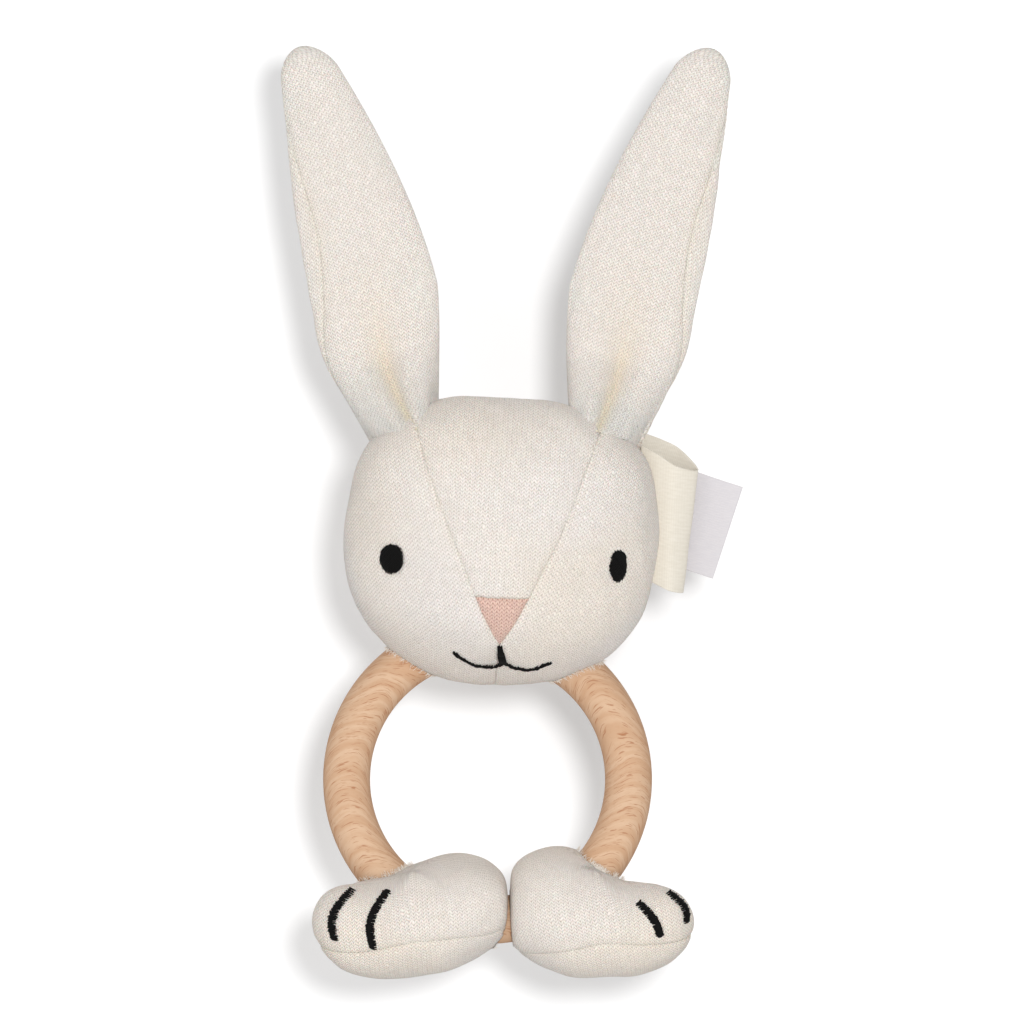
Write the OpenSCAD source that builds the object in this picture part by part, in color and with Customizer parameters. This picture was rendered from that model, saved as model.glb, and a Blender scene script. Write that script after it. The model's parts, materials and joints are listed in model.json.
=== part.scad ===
// Rabbit teething ring: a stuffed knitted head with two long ears and two stuffed knitted feet,
// all sewn round one turned beech ring. The origin is the ring's centre, +Z runs up through the
// ears, +X is the toy's left-hand side as seen from the front, and the face looks along -Y.

/* [Wooden ring] */
// Outer diameter of the ring
ring_outer_d = 70; // [68:0.5:72]
// Thickness of the ring's round section
ring_section_d = 10; // [9:0.25:10.5]

/* [Head] */
// Width across the cheeks
head_w = 66.4; // [64:0.4:70]
// Depth from the face to the nape
head_d = 52; // [48:1:56]
// Height of the widest line above the ring's centre
head_lift = 50; // [49:0.5:51]
// Height of the crown above the widest line
crown_h = 31.5; // [30:0.5:33]
// Depth of the chin below the widest line
chin_h = 29.6; // [29:0.2:30.4]
// How far the muzzle stands out in front of the cheeks
muzzle_out = 2.4; // [0:0.2:3]
// How far the head has slipped round the ring, in degrees
head_slip = 3.3; // [-5:0.1:5]

/* [Ears] */
// Length of the left ear from the root to the tip; the right one is a little longer
ear_len = 81; // [75:1:88]
// Greatest width across one ear
ear_w = 27.4; // [24:0.2:30]
// Greatest thickness of the padding
ear_padding = 4.6; // [3:0.2:5.4]
// Outward lean of the left ear, in degrees; the right one leans a little more
ear_lean = 15.3; // [8:0.1:18]
// How far the two edges fold forward at the root
ear_fold = 4.2; // [2:0.2:5]

/* [Feet] */
// Where the two feet meet, to the side of the ring's centre
feet_meet_x = 4.6; // [3:0.2:6]
// Gap between the two feet
feet_gap = 0.7; // [0.6:0.1:2]
// Size of a foot against the standard one
foot_scale = 1.0; // [0.96:0.01:1.03]

/* [Knitted fabric] */
// Thickness of the knitted cotton
fabric_t = 1.0; // [0.8:0.1:1.1]
// Height of the embroidery above the fabric
stitch_h = 0.6; // [0.4:0.1:0.9]

/* [Rattle] */
// Outer diameter of the rattle capsule
capsule_d = 22; // [20:1:23]
// Wall thickness of the capsule
capsule_wall = 1.4; // [1.2:0.1:1.6]
// Diameter of one pellet
pellet_d = 3.6; // [3:0.2:3.8]

/* [Labels] */
// Height of the folded cotton label
cotton_label_w = 25.5; // [20:0.5:26]
// How far the cotton label stands out of the seam
cotton_label_out = 8; // [7:0.2:10]
// Height of the satin care label
satin_label_w = 20.6; // [16:0.4:22]
// How far the satin label stands out of the seam
satin_label_out = 15; // [12:0.5:19]
// Thickness of either label's tape
tape_t = 0.35; // [0.3:0.05:0.5]

/* [Hidden] */
$fn = 48;

CREAM = [0.93, 0.90, 0.86];
PINK = [0.90, 0.72, 0.66];
WOOD = [0.86, 0.70, 0.54];
THREAD = [0.06, 0.06, 0.06];
FILL = [0.97, 0.96, 0.93];
SATIN = [0.93, 0.92, 0.92];

ring_mid_r = (ring_outer_d - ring_section_d) / 2;
tube_r = ring_section_d / 2;
sleeve_gap = 0.1;
sleeve_r = tube_r + sleeve_gap + fabric_t;
tunnel_r = sleeve_r + 1.0;
seam_gap = 0.012;
layer_gap = 0.15;
head_mid = [0, 0, head_lift];
muzzle_dir = unit([0, -0.86, -0.52]);
muzzle_spread = 26;
nose_tip_h = 0.5;
nose_top_h = 9.9;
seam_top_h = crown_h + 21.4 - 3.2;
neck_half_arc = 20;
ear_dent = 2.4;
ear_dent_spread = 15;
opening_half_arc = 14;
opening_tilt = 14.6;

// ---------- arithmetic shared by every soft part ----------

function unit(v) = v / norm(v);
function mix(a, b, t) = a + (b - a) * t;
function clamp01(t) = max(0, min(1, t));
function ease(t) = let (c = clamp01(t)) c * c * (3 - 2 * c);
function arc_between(a, b) = acos(max(-1, min(1, a * b)));
// The direction a share t of the way from direction a to direction b, along the great circle.
function sweep(a, b, t) =
    let (w = arc_between(a, b))
    w < 0.01 ? unit(mix(a, b, t)) : (sin((1 - t) * w) * a + sin(t * w) * b) / sin(w);
// Share of the way along count steps, kept a little inside both ends so that neighbours stay clear.
function inset_share(j, count) = seam_gap + (1 - 2 * seam_gap) * j / count;

// A closed sheet between two equal grids of points. Each cell is split along its shorter diagonal.
module thick_sheet(outer, inner) {
    rows = len(outer);
    cols = len(outer[0]);
    count = rows * cols;
    function at(i, j) = i * cols + j;
    top = [for (i = [0:rows - 2], j = [0:cols - 2])
        let (a = at(i, j), b = at(i + 1, j), c = at(i + 1, j + 1), d = at(i, j + 1))
        each norm(outer[i][j] - outer[i + 1][j + 1]) < norm(outer[i + 1][j] - outer[i][j + 1])
            ? [[a, b, c], [a, c, d]]
            : [[a, b, d], [b, c, d]]
    ];
    under = [for (f = top) [f[2] + count, f[1] + count, f[0] + count]];
    edge = concat(
        [for (j = [0:cols - 1]) at(0, j)],
        [for (i = [1:rows - 1]) at(i, cols - 1)],
        [for (j = [cols - 2:-1:0]) at(rows - 1, j)],
        [for (i = [rows - 2:-1:1]) at(i, 0)]
    );
    wall = [for (m = [0:len(edge) - 1])
        let (a = edge[m], b = edge[(m + 1) % len(edge)])
        each [[a, b, b + count], [a, b + count, a + count]]
    ];
    polyhedron(
        points = [for (row = outer) each row, for (row = inner) each row],
        faces = concat(top, under, wall),
        convexity = 6
    );
}

// A closed cap between an outer and an inner set of rings, each running down from its pole.
module thick_dome(outer_pole, outer, inner_pole, inner) {
    rings = len(outer);
    turns = len(outer[0]);
    shift = 1 + rings * turns;
    function at(i, j) = 1 + i * turns + j % turns;
    cap = concat(
        [for (j = [0:turns - 1]) [0, at(0, j), at(0, j + 1)]],
        [for (i = [0:rings - 2], j = [0:turns - 1]) each [
            [at(i, j), at(i + 1, j), at(i + 1, j + 1)],
            [at(i, j), at(i + 1, j + 1), at(i, j + 1)]
        ]]
    );
    under = [for (f = cap) [f[2] + shift, f[1] + shift, f[0] + shift]];
    rim = [for (j = [0:turns - 1])
        let (a = at(rings - 1, j), b = at(rings - 1, j + 1))
        each [[b, a, a + shift], [b, a + shift, b + shift]]
    ];
    polyhedron(
        points = concat(
            [outer_pole], [for (ring = outer) each ring],
            [inner_pole], [for (ring = inner) each ring]
        ),
        faces = concat(cap, under, rim),
        convexity = 6
    );
}

// A closed body from rings stacked between a first pole and a last pole.
module stuffed_body(first_pole, stack, last_pole) {
    rings = len(stack);
    turns = len(stack[0]);
    last = 1 + rings * turns;
    function at(i, j) = 1 + i * turns + j % turns;
    polyhedron(
        points = concat([first_pole], [for (ring = stack) each ring], [last_pole]),
        faces = concat(
            [for (j = [0:turns - 1]) [0, at(0, j), at(0, j + 1)]],
            [for (i = [0:rings - 2], j = [0:turns - 1]) each [
                [at(i, j), at(i + 1, j), at(i + 1, j + 1)],
                [at(i, j), at(i + 1, j + 1), at(i, j + 1)]
            ]],
            [for (j = [0:turns - 1]) [last, at(rings - 1, j + 1), at(rings - 1, j)]]
        ),
        convexity = 6
    );
}

// ---------- wooden ring and what wraps it ----------

// A round bar of radius r bent to the ring's own curve, from one angle to another, 0 at the top.
module ring_bar(r, from_top, to_top) {
    rotate([90, 0, 0])
        rotate([0, 0, 90 - to_top])
            rotate_extrude(angle = to_top - from_top)
                translate([ring_mid_r, 0])
                    circle(r = r);
}

module full_bar(r) {
    rotate([90, 0, 0])
        rotate_extrude()
            translate([ring_mid_r, 0])
                circle(r = r);
}

module wooden_ring() {
    color(WOOD) full_bar(tube_r);
}

// The knitted lining that a soft part is sewn to, free to slide along the bar.
module sleeve(from_top, to_top) {
    color(CREAM)
        difference() {
            ring_bar(sleeve_r, from_top, to_top);
            full_bar(tube_r + sleeve_gap);
        }
}

module neck_sleeve() {
    sleeve(head_slip - neck_half_arc, head_slip + neck_half_arc);
}

// ---------- head ----------

// The head is a rounded block: boxier towards the crown, rounder towards the chin, with a soft muzzle.
function head_power(up) = mix(2.25, 2.9, ease((up + 0.2) / 0.8));
// The seam is drawn in a little where an ear is sewn into it.
function drawn_in(d) =
    ear_dent * (exp(-pow(arc_between(d, ear_dir(-1)) / ear_dent_spread, 2))
        + exp(-pow(arc_between(d, ear_dir(1)) / ear_dent_spread, 2)));
function head_reach(d) =
    let (n = head_power(d.z), half_h = d.z > 0 ? crown_h : chin_h)
    pow(
        pow(abs(d.x) / (head_w / 2), n) + pow(abs(d.y) / (head_d / 2), n) + pow(abs(d.z) / half_h, n),
        -1 / n
    ) + muzzle_out * exp(-pow(arc_between(d, muzzle_dir) / muzzle_spread, 2)) - drawn_in(d);
function head_point(d, depth) = head_mid + (head_reach(d) - depth) * d;
// Direction of the front of the head at a place x across and z up, measured from head_mid.
function face_dir(x, z) =
    let (
        half_h = z > 0 ? crown_h : chin_h,
        n = head_power(z / half_h),
        rest = 1 - pow(abs(x) / (head_w / 2), n) - pow(abs(z) / half_h, n)
    )
    unit([x, -head_d / 2 * pow(max(0, rest), 1 / n), z]);
// Half the forehead panel's width at height h above the nose's point.
function forehead_half(h) = 0.57 * h - 0.0031 * h * h;
function forehead_seam(h, side) = face_dir(side * forehead_half(h), h - 21.4);
// Heights along the forehead seam, closing up where it turns over the crown.
function seam_h(share, low, high) = low + (high - low) * sin(90 * share);
// The seam between front and back runs round the silhouette, and opens where the ring passes through.
function ring_exit(side) = side > 0 ? -55 : -125;
function seam_tilt(a, side) =
    let (x = (a - ring_exit(side)) / opening_half_arc)
    0.15 + opening_tilt * sqrt(max(0, 1 - x * x));
function side_seam(a, side, back) =
    let (tilt = seam_tilt(a, side) * (back ? 1 : -1))
    [cos(a) * cos(tilt), sin(tilt), sin(a) * cos(tilt)];
// Angle of the forehead panel's top corner, where it meets the crown seam.
corner_dir = forehead_seam(seam_top_h, 1);
corner_a = atan2(corner_dir.z, corner_dir.x);
// Round the right side the angle falls from the crown to the chin, and round the left side it rises.
function seam_angle(share, side) =
    side > 0 ? mix(corner_a - 1, -89, share) : mix(-179 - corner_a, -91, share);

// A panel of the head between two lists of directions, one for each edge.
module head_panel(edge_a, edge_b, cols) {
    grid = [for (i = [0:len(edge_a) - 1])
        [for (j = [0:cols]) sweep(edge_a[i], edge_b[i], inset_share(j, cols))]
    ];
    outer = [for (row = grid) [for (d = row) head_point(d, 0)]];
    inner = [for (row = grid) [for (d = row) head_point(d, fabric_t)]];
    rotate([0, head_slip, 0]) thick_sheet(outer, inner);
}

// Beyond its top corners the forehead panel turns over the crown to the side seam.
module forehead_panel() {
    rows = 13;
    over_crown = 3;
    heights = [for (i = [0:rows]) seam_h(i / rows, nose_top_h + 0.1, seam_top_h)];
    function edge(side) = concat(
        [for (h = heights) forehead_seam(h, side)],
        [for (i = [1:over_crown])
            let (d = sweep(corner_dir, side_seam(corner_a, 1, false), i / over_crown))
            [side * d.x, d.y, d.z]
        ]
    );
    color(CREAM) head_panel(edge(-1), edge(1), 10);
}

module nose_panel() {
    rows = 5;
    heights = [for (i = [0:rows]) mix(nose_tip_h, nose_top_h - 0.1, i / rows)];
    color(PINK)
        head_panel([for (h = heights) forehead_seam(h, -1)], [for (h = heights) forehead_seam(h, 1)], 5);
}

module cheek_panel(side) {
    rows = 22;
    inner_edge = [for (i = [0:rows])
        forehead_seam(seam_h(1 - i / rows, nose_tip_h, seam_top_h - 0.4), side)
    ];
    outer_edge = [for (i = [0:rows]) side_seam(seam_angle(i / rows, side), side, false)];
    color(CREAM)
        if (side > 0) head_panel(outer_edge, inner_edge, 9);
        else head_panel(inner_edge, outer_edge, 9);
}

// Each back panel runs from the centre-back seam to the side seam.
module back_panel(side) {
    rows = 22;
    centre = [for (i = [0:rows])
        let (a = mix(1, 176, i / rows))
        unit([side * 0.004, sin(a), cos(a)])
    ];
    outer_edge = [for (i = [0:rows])
        let (share = i / rows, a = mix(side > 0 ? corner_a : -180 - corner_a, side > 0 ? -89 : -91, share))
        side_seam(a, side, true)
    ];
    color(CREAM)
        if (side > 0) head_panel(centre, outer_edge, 9);
        else head_panel(outer_edge, centre, 9);
}

module head_stuffing() {
    rings = 17;
    turns = 36;
    depth = fabric_t + 0.35;
    // Rings stack along Y, from the face to the nape.
    function ring_dir(i, j) =
        let (a = 180 * (i + 1) / (rings + 1), b = 360 * j / turns)
        [sin(a) * cos(b), -cos(a), sin(a) * sin(b)];
    color(FILL)
        rotate([0, head_slip, 0])
            difference() {
                stuffed_body(
                    head_point([0, -1, 0], depth),
                    [for (i = [0:rings - 1]) [for (j = [0:turns - 1]) head_point(ring_dir(i, -j), depth)]],
                    head_point([0, 1, 0], depth)
                );
                full_bar(tunnel_r);
                translate(capsule_mid) sphere(d = capsule_d + 2 * layer_gap);
            }
}

// ---------- embroidery on the head ----------

// A filled shape on the head: rings of directions round a centre, standing stitch_h proud.
module eye_pad(x, z, half_w, half_h) {
    turns = 20;
    steps = [1, 0.72, 0.4];
    centre = face_dir(x, z);
    lift = [0.35, 0.85, 1];
    function rim_dir(share, j) =
        face_dir(x + share * half_w * cos(360 * j / turns), z + share * half_h * sin(360 * j / turns));
    function ring_at(k, base) =
        [for (j = [0:turns - 1])
            let (d = rim_dir(steps[k], -j))
            head_point(d, base ? -0.05 : -0.05 - stitch_h * lift[k])
        ];
    rotate([0, head_slip, 0])
        thick_dome(
            head_point(centre, -0.05 - stitch_h), [for (k = [2:-1:0]) ring_at(k, false)],
            head_point(centre, -0.05), [for (k = [2:-1:0]) ring_at(k, true)]
        );
}

eye_x = 23.9;
eye_z = -3.7;

module left_eye_embroidery() {
    color(THREAD) eye_pad(-eye_x + 0.6, eye_z - 0.4, 2.6, 3.1);
}

module right_eye_embroidery() {
    color(THREAD) eye_pad(eye_x + 0.8, eye_z + 0.5, 1.75, 3.4);
}

// A raised line of stitches along a path of face places [x, z].
module face_thread(path, width) {
    last = len(path) - 1;
    across = [for (i = [0:last])
        let (p = path[max(0, i - 1)], q = path[min(last, i + 1)], t = (q - p) / norm(q - p))
        [-t.y, t.x] * width / 2
    ];
    function row(i, base) =
        [for (j = [-1, 0, 1])
            let (p = path[i] + across[i] * j, rise = base ? 0 : stitch_h * (j == 0 ? 1 : 0.5))
            head_point(face_dir(p.x, p.y), -0.05 - rise)
        ];
    rotate([0, head_slip, 0])
        thick_sheet([for (i = [0:last]) row(i, true)], [for (i = [0:last]) row(i, false)]);
}

mouth_z = -24.8;

module mouth_embroidery() {
    steps = 8;
    color(THREAD) {
        face_thread([for (i = [0:3]) [mix(-0.2, 0.5, i / 3), mix(-21.0, mouth_z + 0.7, i / 3)]], 1.2);
        for (side = [-1, 1])
            face_thread(
                [for (i = [0:steps])
                    let (t = i / steps)
                    [0.6 + side * mix(0.7, 10.2, t), mouth_z - 1.6 * sin(180 * t * 0.92) + 2.2 * t * t]
                ],
                0.8
            );
    }
}

// ---------- rattle ----------

capsule_mid = [0, 1, head_lift + 6];
capsule_r = capsule_d / 2;
capsule_in = capsule_r - capsule_wall;
lip_t = capsule_wall / 2;
lip_len = 1.4;

// The front half carries a thin lip that plugs into the back half's recess.
module rattle_capsule_front() {
    color("white")
        rotate([0, head_slip, 0]) translate(capsule_mid) rotate([90, 0, 0]) {
            difference() {
                sphere(r = capsule_r);
                sphere(r = capsule_in);
                translate([0, 0, -2 * capsule_r]) cylinder(r = 2 * capsule_r, h = 2 * capsule_r);
            }
            translate([0, 0, -lip_len])
                difference() {
                    cylinder(r = capsule_in + lip_t - 0.05, h = lip_len + 0.3);
                    translate([0, 0, -1]) cylinder(r = capsule_in - 0.15, h = lip_len + 3);
                }
        }
}

module rattle_capsule_back() {
    color("white")
        rotate([0, head_slip, 0]) translate(capsule_mid) rotate([90, 0, 0])
            difference() {
                sphere(r = capsule_r);
                sphere(r = capsule_in);
                cylinder(r = 2 * capsule_r, h = 2 * capsule_r);
                translate([0, 0, -lip_len - 0.1]) cylinder(r = capsule_in + lip_t + 0.05, h = lip_len + 1);
            }
}

// One pellet in the middle of a ring of five, all lying in the bottom of the capsule.
module rattle_pellets() {
    ring_r = 3.9;
    rest = capsule_in - pellet_d / 2 - 0.35;
    color("lightsteelblue")
        rotate([0, head_slip, 0]) translate(capsule_mid) {
            translate([0, 0, -rest]) sphere(d = pellet_d);
            for (k = [0:4])
                rotate([0, 0, 72 * k])
                    translate([ring_r, 0, -sqrt(rest * rest - ring_r * ring_r)])
                        sphere(d = pellet_d);
        }
}

// ---------- ears ----------

root_r = 1.5;
root_half = 5.6;
// Angle of each ear's root from the crown's middle, and the slope of the seam it is sewn into.
function root_angle(side) = side < 0 ? 41 : 36;
function root_slope(side) = side < 0 ? 34 : 26;
function ear_dir(side) = [side * sin(root_angle(side)), 0, cos(root_angle(side))];
// The middle of an ear's root on the head, before the head's slip, and the same with the slip.
function root_on_head(side) = head_mid + (head_reach(ear_dir(side)) + root_r + 0.25) * ear_dir(side);
function slipped(p) =
    [p.x * cos(head_slip) + p.z * sin(head_slip), p.y, p.z * cos(head_slip) - p.x * sin(head_slip)];
function root_mid(side) = slipped(root_on_head(side));

// The gathered and overstitched foot of an ear, held in the crown seam.
module ear_root(side) {
    color(CREAM)
        translate(root_mid(side))
            rotate([0, head_slip + side * root_slope(side), 0])
                rotate([0, 90, 0])
                    cylinder(r = root_r, h = 2 * root_half, center = true);
}

// Half the ear's width, as a share of its greatest, at a share s of the way from root to tip.
ear_widest = 0.295;
function ear_shape(s) =
    s < ear_widest
        ? 1 - 0.375 * pow(1 - s / ear_widest, 2)
        : 1 - 0.64 * pow((s - ear_widest) / (1 - ear_widest), 1.62);
ear_tip_r = 6.3;
function ear_half(s) =
    let (from_tip = (1 - s) * ear_len, cap = from_tip < ear_tip_r
        ? sqrt(max(0, 2 * ear_tip_r * from_tip - from_tip * from_tip)) / ear_tip_r : 1)
    ear_w / 2 * ear_shape(s) * cap;
// How far the middle of the ear bows towards the other ear, and how far its edges fold forward.
function ear_bow(s) = 1.65 * sin(180 * s) - 0.85 * sin(180 * clamp01(s / ear_widest));
function ear_forward(s, q) = ear_fold * pow(clamp01(1 - s / 0.5), 2) * (1.5 * q * q - 0.5);
function ear_puff(s, q) =
    ear_padding / 2 * pow(max(0, 1 - q * q), 0.7) * (0.55 + 0.45 * sin(180 * clamp01(0.12 + 0.85 * s)));
function ear_tilt(side) = side < 0 ? ear_lean : ear_lean + 1;
function ear_reach(side) = side < 0 ? ear_len : ear_len + 1;
// The ear's foot is cut on the slant, along the seam that its root follows.
function foot_slant(side) = tan(ear_tilt(side) - root_slope(side) - side * head_slip);
// A place on the ear: x across, y forward is negative, z along; offset moves it off the mid-surface.
function ear_point(s, q, offset, side) =
    let (x = q * ear_half(s) - side * ear_bow(s))
    [
        x,
        -ear_forward(s, q) - offset,
        root_r + 0.2 + s * (ear_reach(side) - root_r) + side * x * foot_slant(side) * pow(1 - s, 3)
    ];

function ear_steps(rows) = [for (i = [0:rows]) 0.9995 * sin(90 * i / rows)];

module on_ear(side) {
    translate(root_mid(side)) rotate([0, side * ear_tilt(side), 0]) children();
}

// One knitted face of the ear: front is 1 for the side that looks forward, -1 for the back.
module ear_face(side, front) {
    steps = ear_steps(14);
    cols = 10;
    inner = [for (s = steps) [for (j = [0:cols])
        let (q = 2 * j / cols - 1)
        ear_point(s, q, front * (ear_puff(s, q) + layer_gap / 4), side)
    ]];
    outer = [for (s = steps) [for (j = [0:cols])
        let (q = 2 * j / cols - 1)
        ear_point(s, q, front * (ear_puff(s, q) + fabric_t * 0.8), side)
    ]];
    color(CREAM)
        on_ear(side)
            if (front > 0) thick_sheet(outer, inner);
            else thick_sheet(inner, outer);
}

module ear_padding_layer(side) {
    steps = [for (i = [0:12]) mix(0.02, 0.95, i / 12)];
    cols = 8;
    function layer(front) = [for (s = steps) [for (j = [0:cols])
        let (q = 0.8 * (2 * j / cols - 1))
        ear_point(s, q, front * 0.72 * ear_puff(s, q), side)
    ]];
    color(FILL) on_ear(side) thick_sheet(layer(1), layer(-1));
}

module left_ear_root() { ear_root(-1); }
module left_ear_front() { ear_face(-1, 1); }
module left_ear_back() { ear_face(-1, -1); }
module left_ear_padding() { ear_padding_layer(-1); }
module right_ear_root() { ear_root(1); }
module right_ear_front() { ear_face(1, 1); }
module right_ear_back() { ear_face(1, -1); }
module right_ear_padding() { ear_padding_layer(1); }

// ---------- labels, sewn into the seam on the toy's left ----------

label_root = [37.2, 0, 53.4];

// A tape folded into a loop, standing out along X with its width along Z.
module cotton_label() {
    half = 2.6;
    pinch = 0.5;
    color(CREAM)
        translate([label_root.x, -1.8, label_root.z]) rotate([8, 9, 0])
            translate([0, 0, -cotton_label_w / 2])
                linear_extrude(height = cotton_label_w)
                    difference() {
                        loop_outline(cotton_label_out, half, pinch);
                        translate([-0.01, 0]) loop_outline(cotton_label_out - tape_t, half - tape_t, pinch - tape_t);
                    }
}

// Half-plan of the loop: narrow where it leaves the seam, fullest before its fold.
module loop_outline(out, half, pinch) {
    steps = 14;
    function width_at(t) = pinch + (half - pinch) * sin(180 * pow(t, 0.8)) * 0.9;
    polygon(concat(
        [for (i = [0:steps]) let (t = i / steps) [out * t, width_at(t) * sqrt(max(0, 1 - pow(t, 8)))]],
        [for (i = [steps:-1:0]) let (t = i / steps) [out * t, -width_at(t) * sqrt(max(0, 1 - pow(t, 8))) - 0.001]]
    ));
}

// The satin tape hangs askew behind the loop, and is trimmed straight where it meets the seam.
module satin_label() {
    askew = 19;
    hidden = 10;
    color(SATIN)
        translate([label_root.x, 2.9 + tape_t, label_root.z + 4]) rotate([90, 0, 0])
            linear_extrude(height = tape_t)
                intersection() {
                    rotate(-askew)
                        translate([-hidden, -satin_label_w / 2])
                            square([satin_label_out + hidden, satin_label_w]);
                    translate([0, -40]) square([80, 80]);
                }
}

// ---------- feet ----------

foot_mid = [20, -4, -29.6];
// A foot is the soft blend of six balls, from the heel round the ring, through the instep, to the toe.
// Each is [place, radius], measured from where the feet meet, with X pointing away from the other foot.
function lobes(side) = side < 0
    ? [[[10.8, 0, -26.9], 11.2], [[15.8, -2.6, -29.0], 11.7], [[22.2, -3, -31.1], 11], [[27, -5, -31.5], 10.4],
        [[30.7, -7, -31.3], 9.2], [[33.9, -8, -29.6], 7.1]]
    : [[[10.0, 0, -27.1], 12.7], [[15, -3, -30], 11.6], [[20, -3, -31.4], 10.3], [[25.4, -5, -31.5], 9.8],
        [[29.6, -7, -31], 8.7], [[31.7, -8, -29.8], 6.5]];
function ball_reach(d, place, r) =
    let (b = d * place, e = b * b - place * place + r * r)
    e > 0 ? max(0, b + sqrt(e)) : 0;
function foot_reach(d, side) =
    let (
        far = [for (l = lobes(side)) ball_reach(d, l[0] - foot_mid, l[1])],
        blend = max(far) * pow([for (f = far) pow(f / max(far), 14)] * [1, 1, 1, 1, 1, 1], 1 / 14),
        meet = d.x < -0.05 ? (foot_mid.x - 0.2) / -d.x : 1000
    )
    foot_scale * min(blend, meet) * pow(1 + pow(min(blend, meet) / max(blend, meet), 30), -1 / 30);
// The sole seam lies in a plane that dips towards the front.
function sole_pitch(side) = side < 0 ? 20 : 14;
function sole_drop(side) = side < 0 ? -6 : -14;
function sole_roll(side) = side < 0 ? -4 : 9;
// Direction at azimuth a and elevation e above the sole seam's plane.
function foot_dir(a, e, side) =
    let (
        c = sole_pitch(side),
        r = sole_roll(side),
        v = [cos(e) * cos(a), cos(e) * sin(a), sin(e)],
        p = [v.x, v.y * cos(c) - v.z * sin(c), v.y * sin(c) + v.z * cos(c)]
    )
    [p.x * cos(r) - p.z * sin(r), p.y, p.x * sin(r) + p.z * cos(r)];
function foot_point(d, depth, side) = foot_mid + (foot_reach(d, side) - depth) * d;
// Direction of the front of the foot at a place x across and z up, found by halving the gap between
// a point inside the foot and one in front of it.
function foot_front(x, z, side, inside = -4, before = -30, halvings = 14) =
    let (mid = (inside + before) / 2, v = [x, mid, z] - foot_mid)
    halvings == 0 ? unit(v)
    : norm(v) < foot_reach(unit(v), side) ? foot_front(x, z, side, mid, before, halvings - 1)
    : foot_front(x, z, side, inside, mid, halvings - 1);

// Places children modelled with X pointing away from the other foot.
module on_foot(side) {
    translate([feet_meet_x + side * feet_gap / 2, 0, 0])
        if (side > 0) children();
        else mirror([1, 0, 0]) children();
}

foot_turns = 36;
function foot_rings(elevations, depth, side) =
    [for (e = elevations) [for (j = [0:foot_turns - 1])
        foot_point(foot_dir(-360 * j / foot_turns, e, side), depth, side)
    ]];

// One knitted part of a foot: pole_e is 90 for the upper and -90 for the sole.
module foot_shell(side, pole_e, elevations) {
    pole = foot_dir(0, pole_e, side);
    color(CREAM)
        difference() {
            on_foot(side)
                if (pole_e > 0)
                    thick_dome(
                        foot_point(pole, 0, side), foot_rings(elevations, 0, side),
                        foot_point(pole, fabric_t, side), foot_rings(elevations, fabric_t, side)
                    );
                else
                    thick_dome(
                        foot_point(pole, fabric_t, side), foot_rings(elevations, fabric_t, side),
                        foot_point(pole, 0, side), foot_rings(elevations, 0, side)
                    );
            full_bar(tunnel_r);
        }
}

module foot_upper(side) {
    foot_shell(side, 90, [for (i = [1:9]) mix(90, sole_drop(side) + 0.3, i / 9)]);
}

module foot_sole(side) {
    foot_shell(side, -90, [for (i = [1:7]) mix(-90, sole_drop(side) - 0.3, i / 7)]);
}

module foot_stuffing(side) {
    depth = fabric_t + 0.9;
    elevations = [for (i = [1:11]) 90 - 180 * i / 12];
    color(FILL)
        difference() {
            on_foot(side)
                stuffed_body(
                    foot_point(foot_dir(0, 90, side), depth, side),
                    foot_rings(elevations, depth, side),
                    foot_point(foot_dir(0, -90, side), depth, side)
                );
            full_bar(tunnel_r);
        }
}

// A curved bar of satin stitch over the toe, between two places [x, z] in front view.
module toe_bar(side, top, foot, bulge, width) {
    steps = 8;
    function row(i, base) =
        [for (j = [-1, 0, 1])
            let (
                t = i / steps,
                p = mix(top, foot, t) + [bulge * sin(180 * t) + j * width / 2, 0],
                rise = base ? 0 : stitch_h * (j == 0 ? 1 : 0.5)
            )
            foot_point(foot_front(p.x, p.y, side), -0.05 - rise, side)
        ];
    on_foot(side)
        thick_sheet([for (i = [0:steps]) row(i, true)], [for (i = [0:steps]) row(i, false)]);
}

module left_toe_embroidery() {
    color(THREAD) {
        toe_bar(-1, [25.9, -24.2], [29.2, -35.7], 1.6, 1.5);
        toe_bar(-1, [33.6, -24.4], [36.6, -33.9], 1.8, 1.4);
    }
}

module right_toe_embroidery() {
    color(THREAD) {
        toe_bar(1, [27.7, -26.4], [32.1, -33.3], 0.9, 1.5);
        toe_bar(1, [33.4, -25.0], [36.6, -30.6], 1.0, 1.3);
    }
}

// Each foot's sleeve covers the stretch of ring that the foot hides.
module left_foot_sleeve() { sleeve(180 + 5, 180 + 38); }
module right_foot_sleeve() { sleeve(180 - 49, 180 - 13); }
module left_foot_upper() { foot_upper(-1); }
module left_foot_sole() { foot_sole(-1); }
module left_foot_stuffing() { foot_stuffing(-1); }
module right_foot_upper() { foot_upper(1); }
module right_foot_sole() { foot_sole(1); }
module right_foot_stuffing() { foot_stuffing(1); }

module left_cheek_panel() { cheek_panel(-1); }
module right_cheek_panel() { cheek_panel(1); }
module back_left_panel() { back_panel(-1); }
module back_right_panel() { back_panel(1); }

// ---------- the assembly ----------

wooden_ring();
neck_sleeve();
forehead_panel();
nose_panel();
left_cheek_panel();
right_cheek_panel();
back_left_panel();
back_right_panel();
head_stuffing();
left_eye_embroidery();
right_eye_embroidery();
mouth_embroidery();
rattle_capsule_front();
rattle_capsule_back();
rattle_pellets();
left_ear_root();
left_ear_front();
left_ear_back();
left_ear_padding();
right_ear_root();
right_ear_front();
right_ear_back();
right_ear_padding();
cotton_label();
satin_label();
left_foot_sleeve();
left_foot_upper();
left_foot_sole();
left_foot_stuffing();
left_toe_embroidery();
right_foot_sleeve();
right_foot_upper();
right_foot_sole();
right_foot_stuffing();
right_toe_embroidery();
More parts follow.
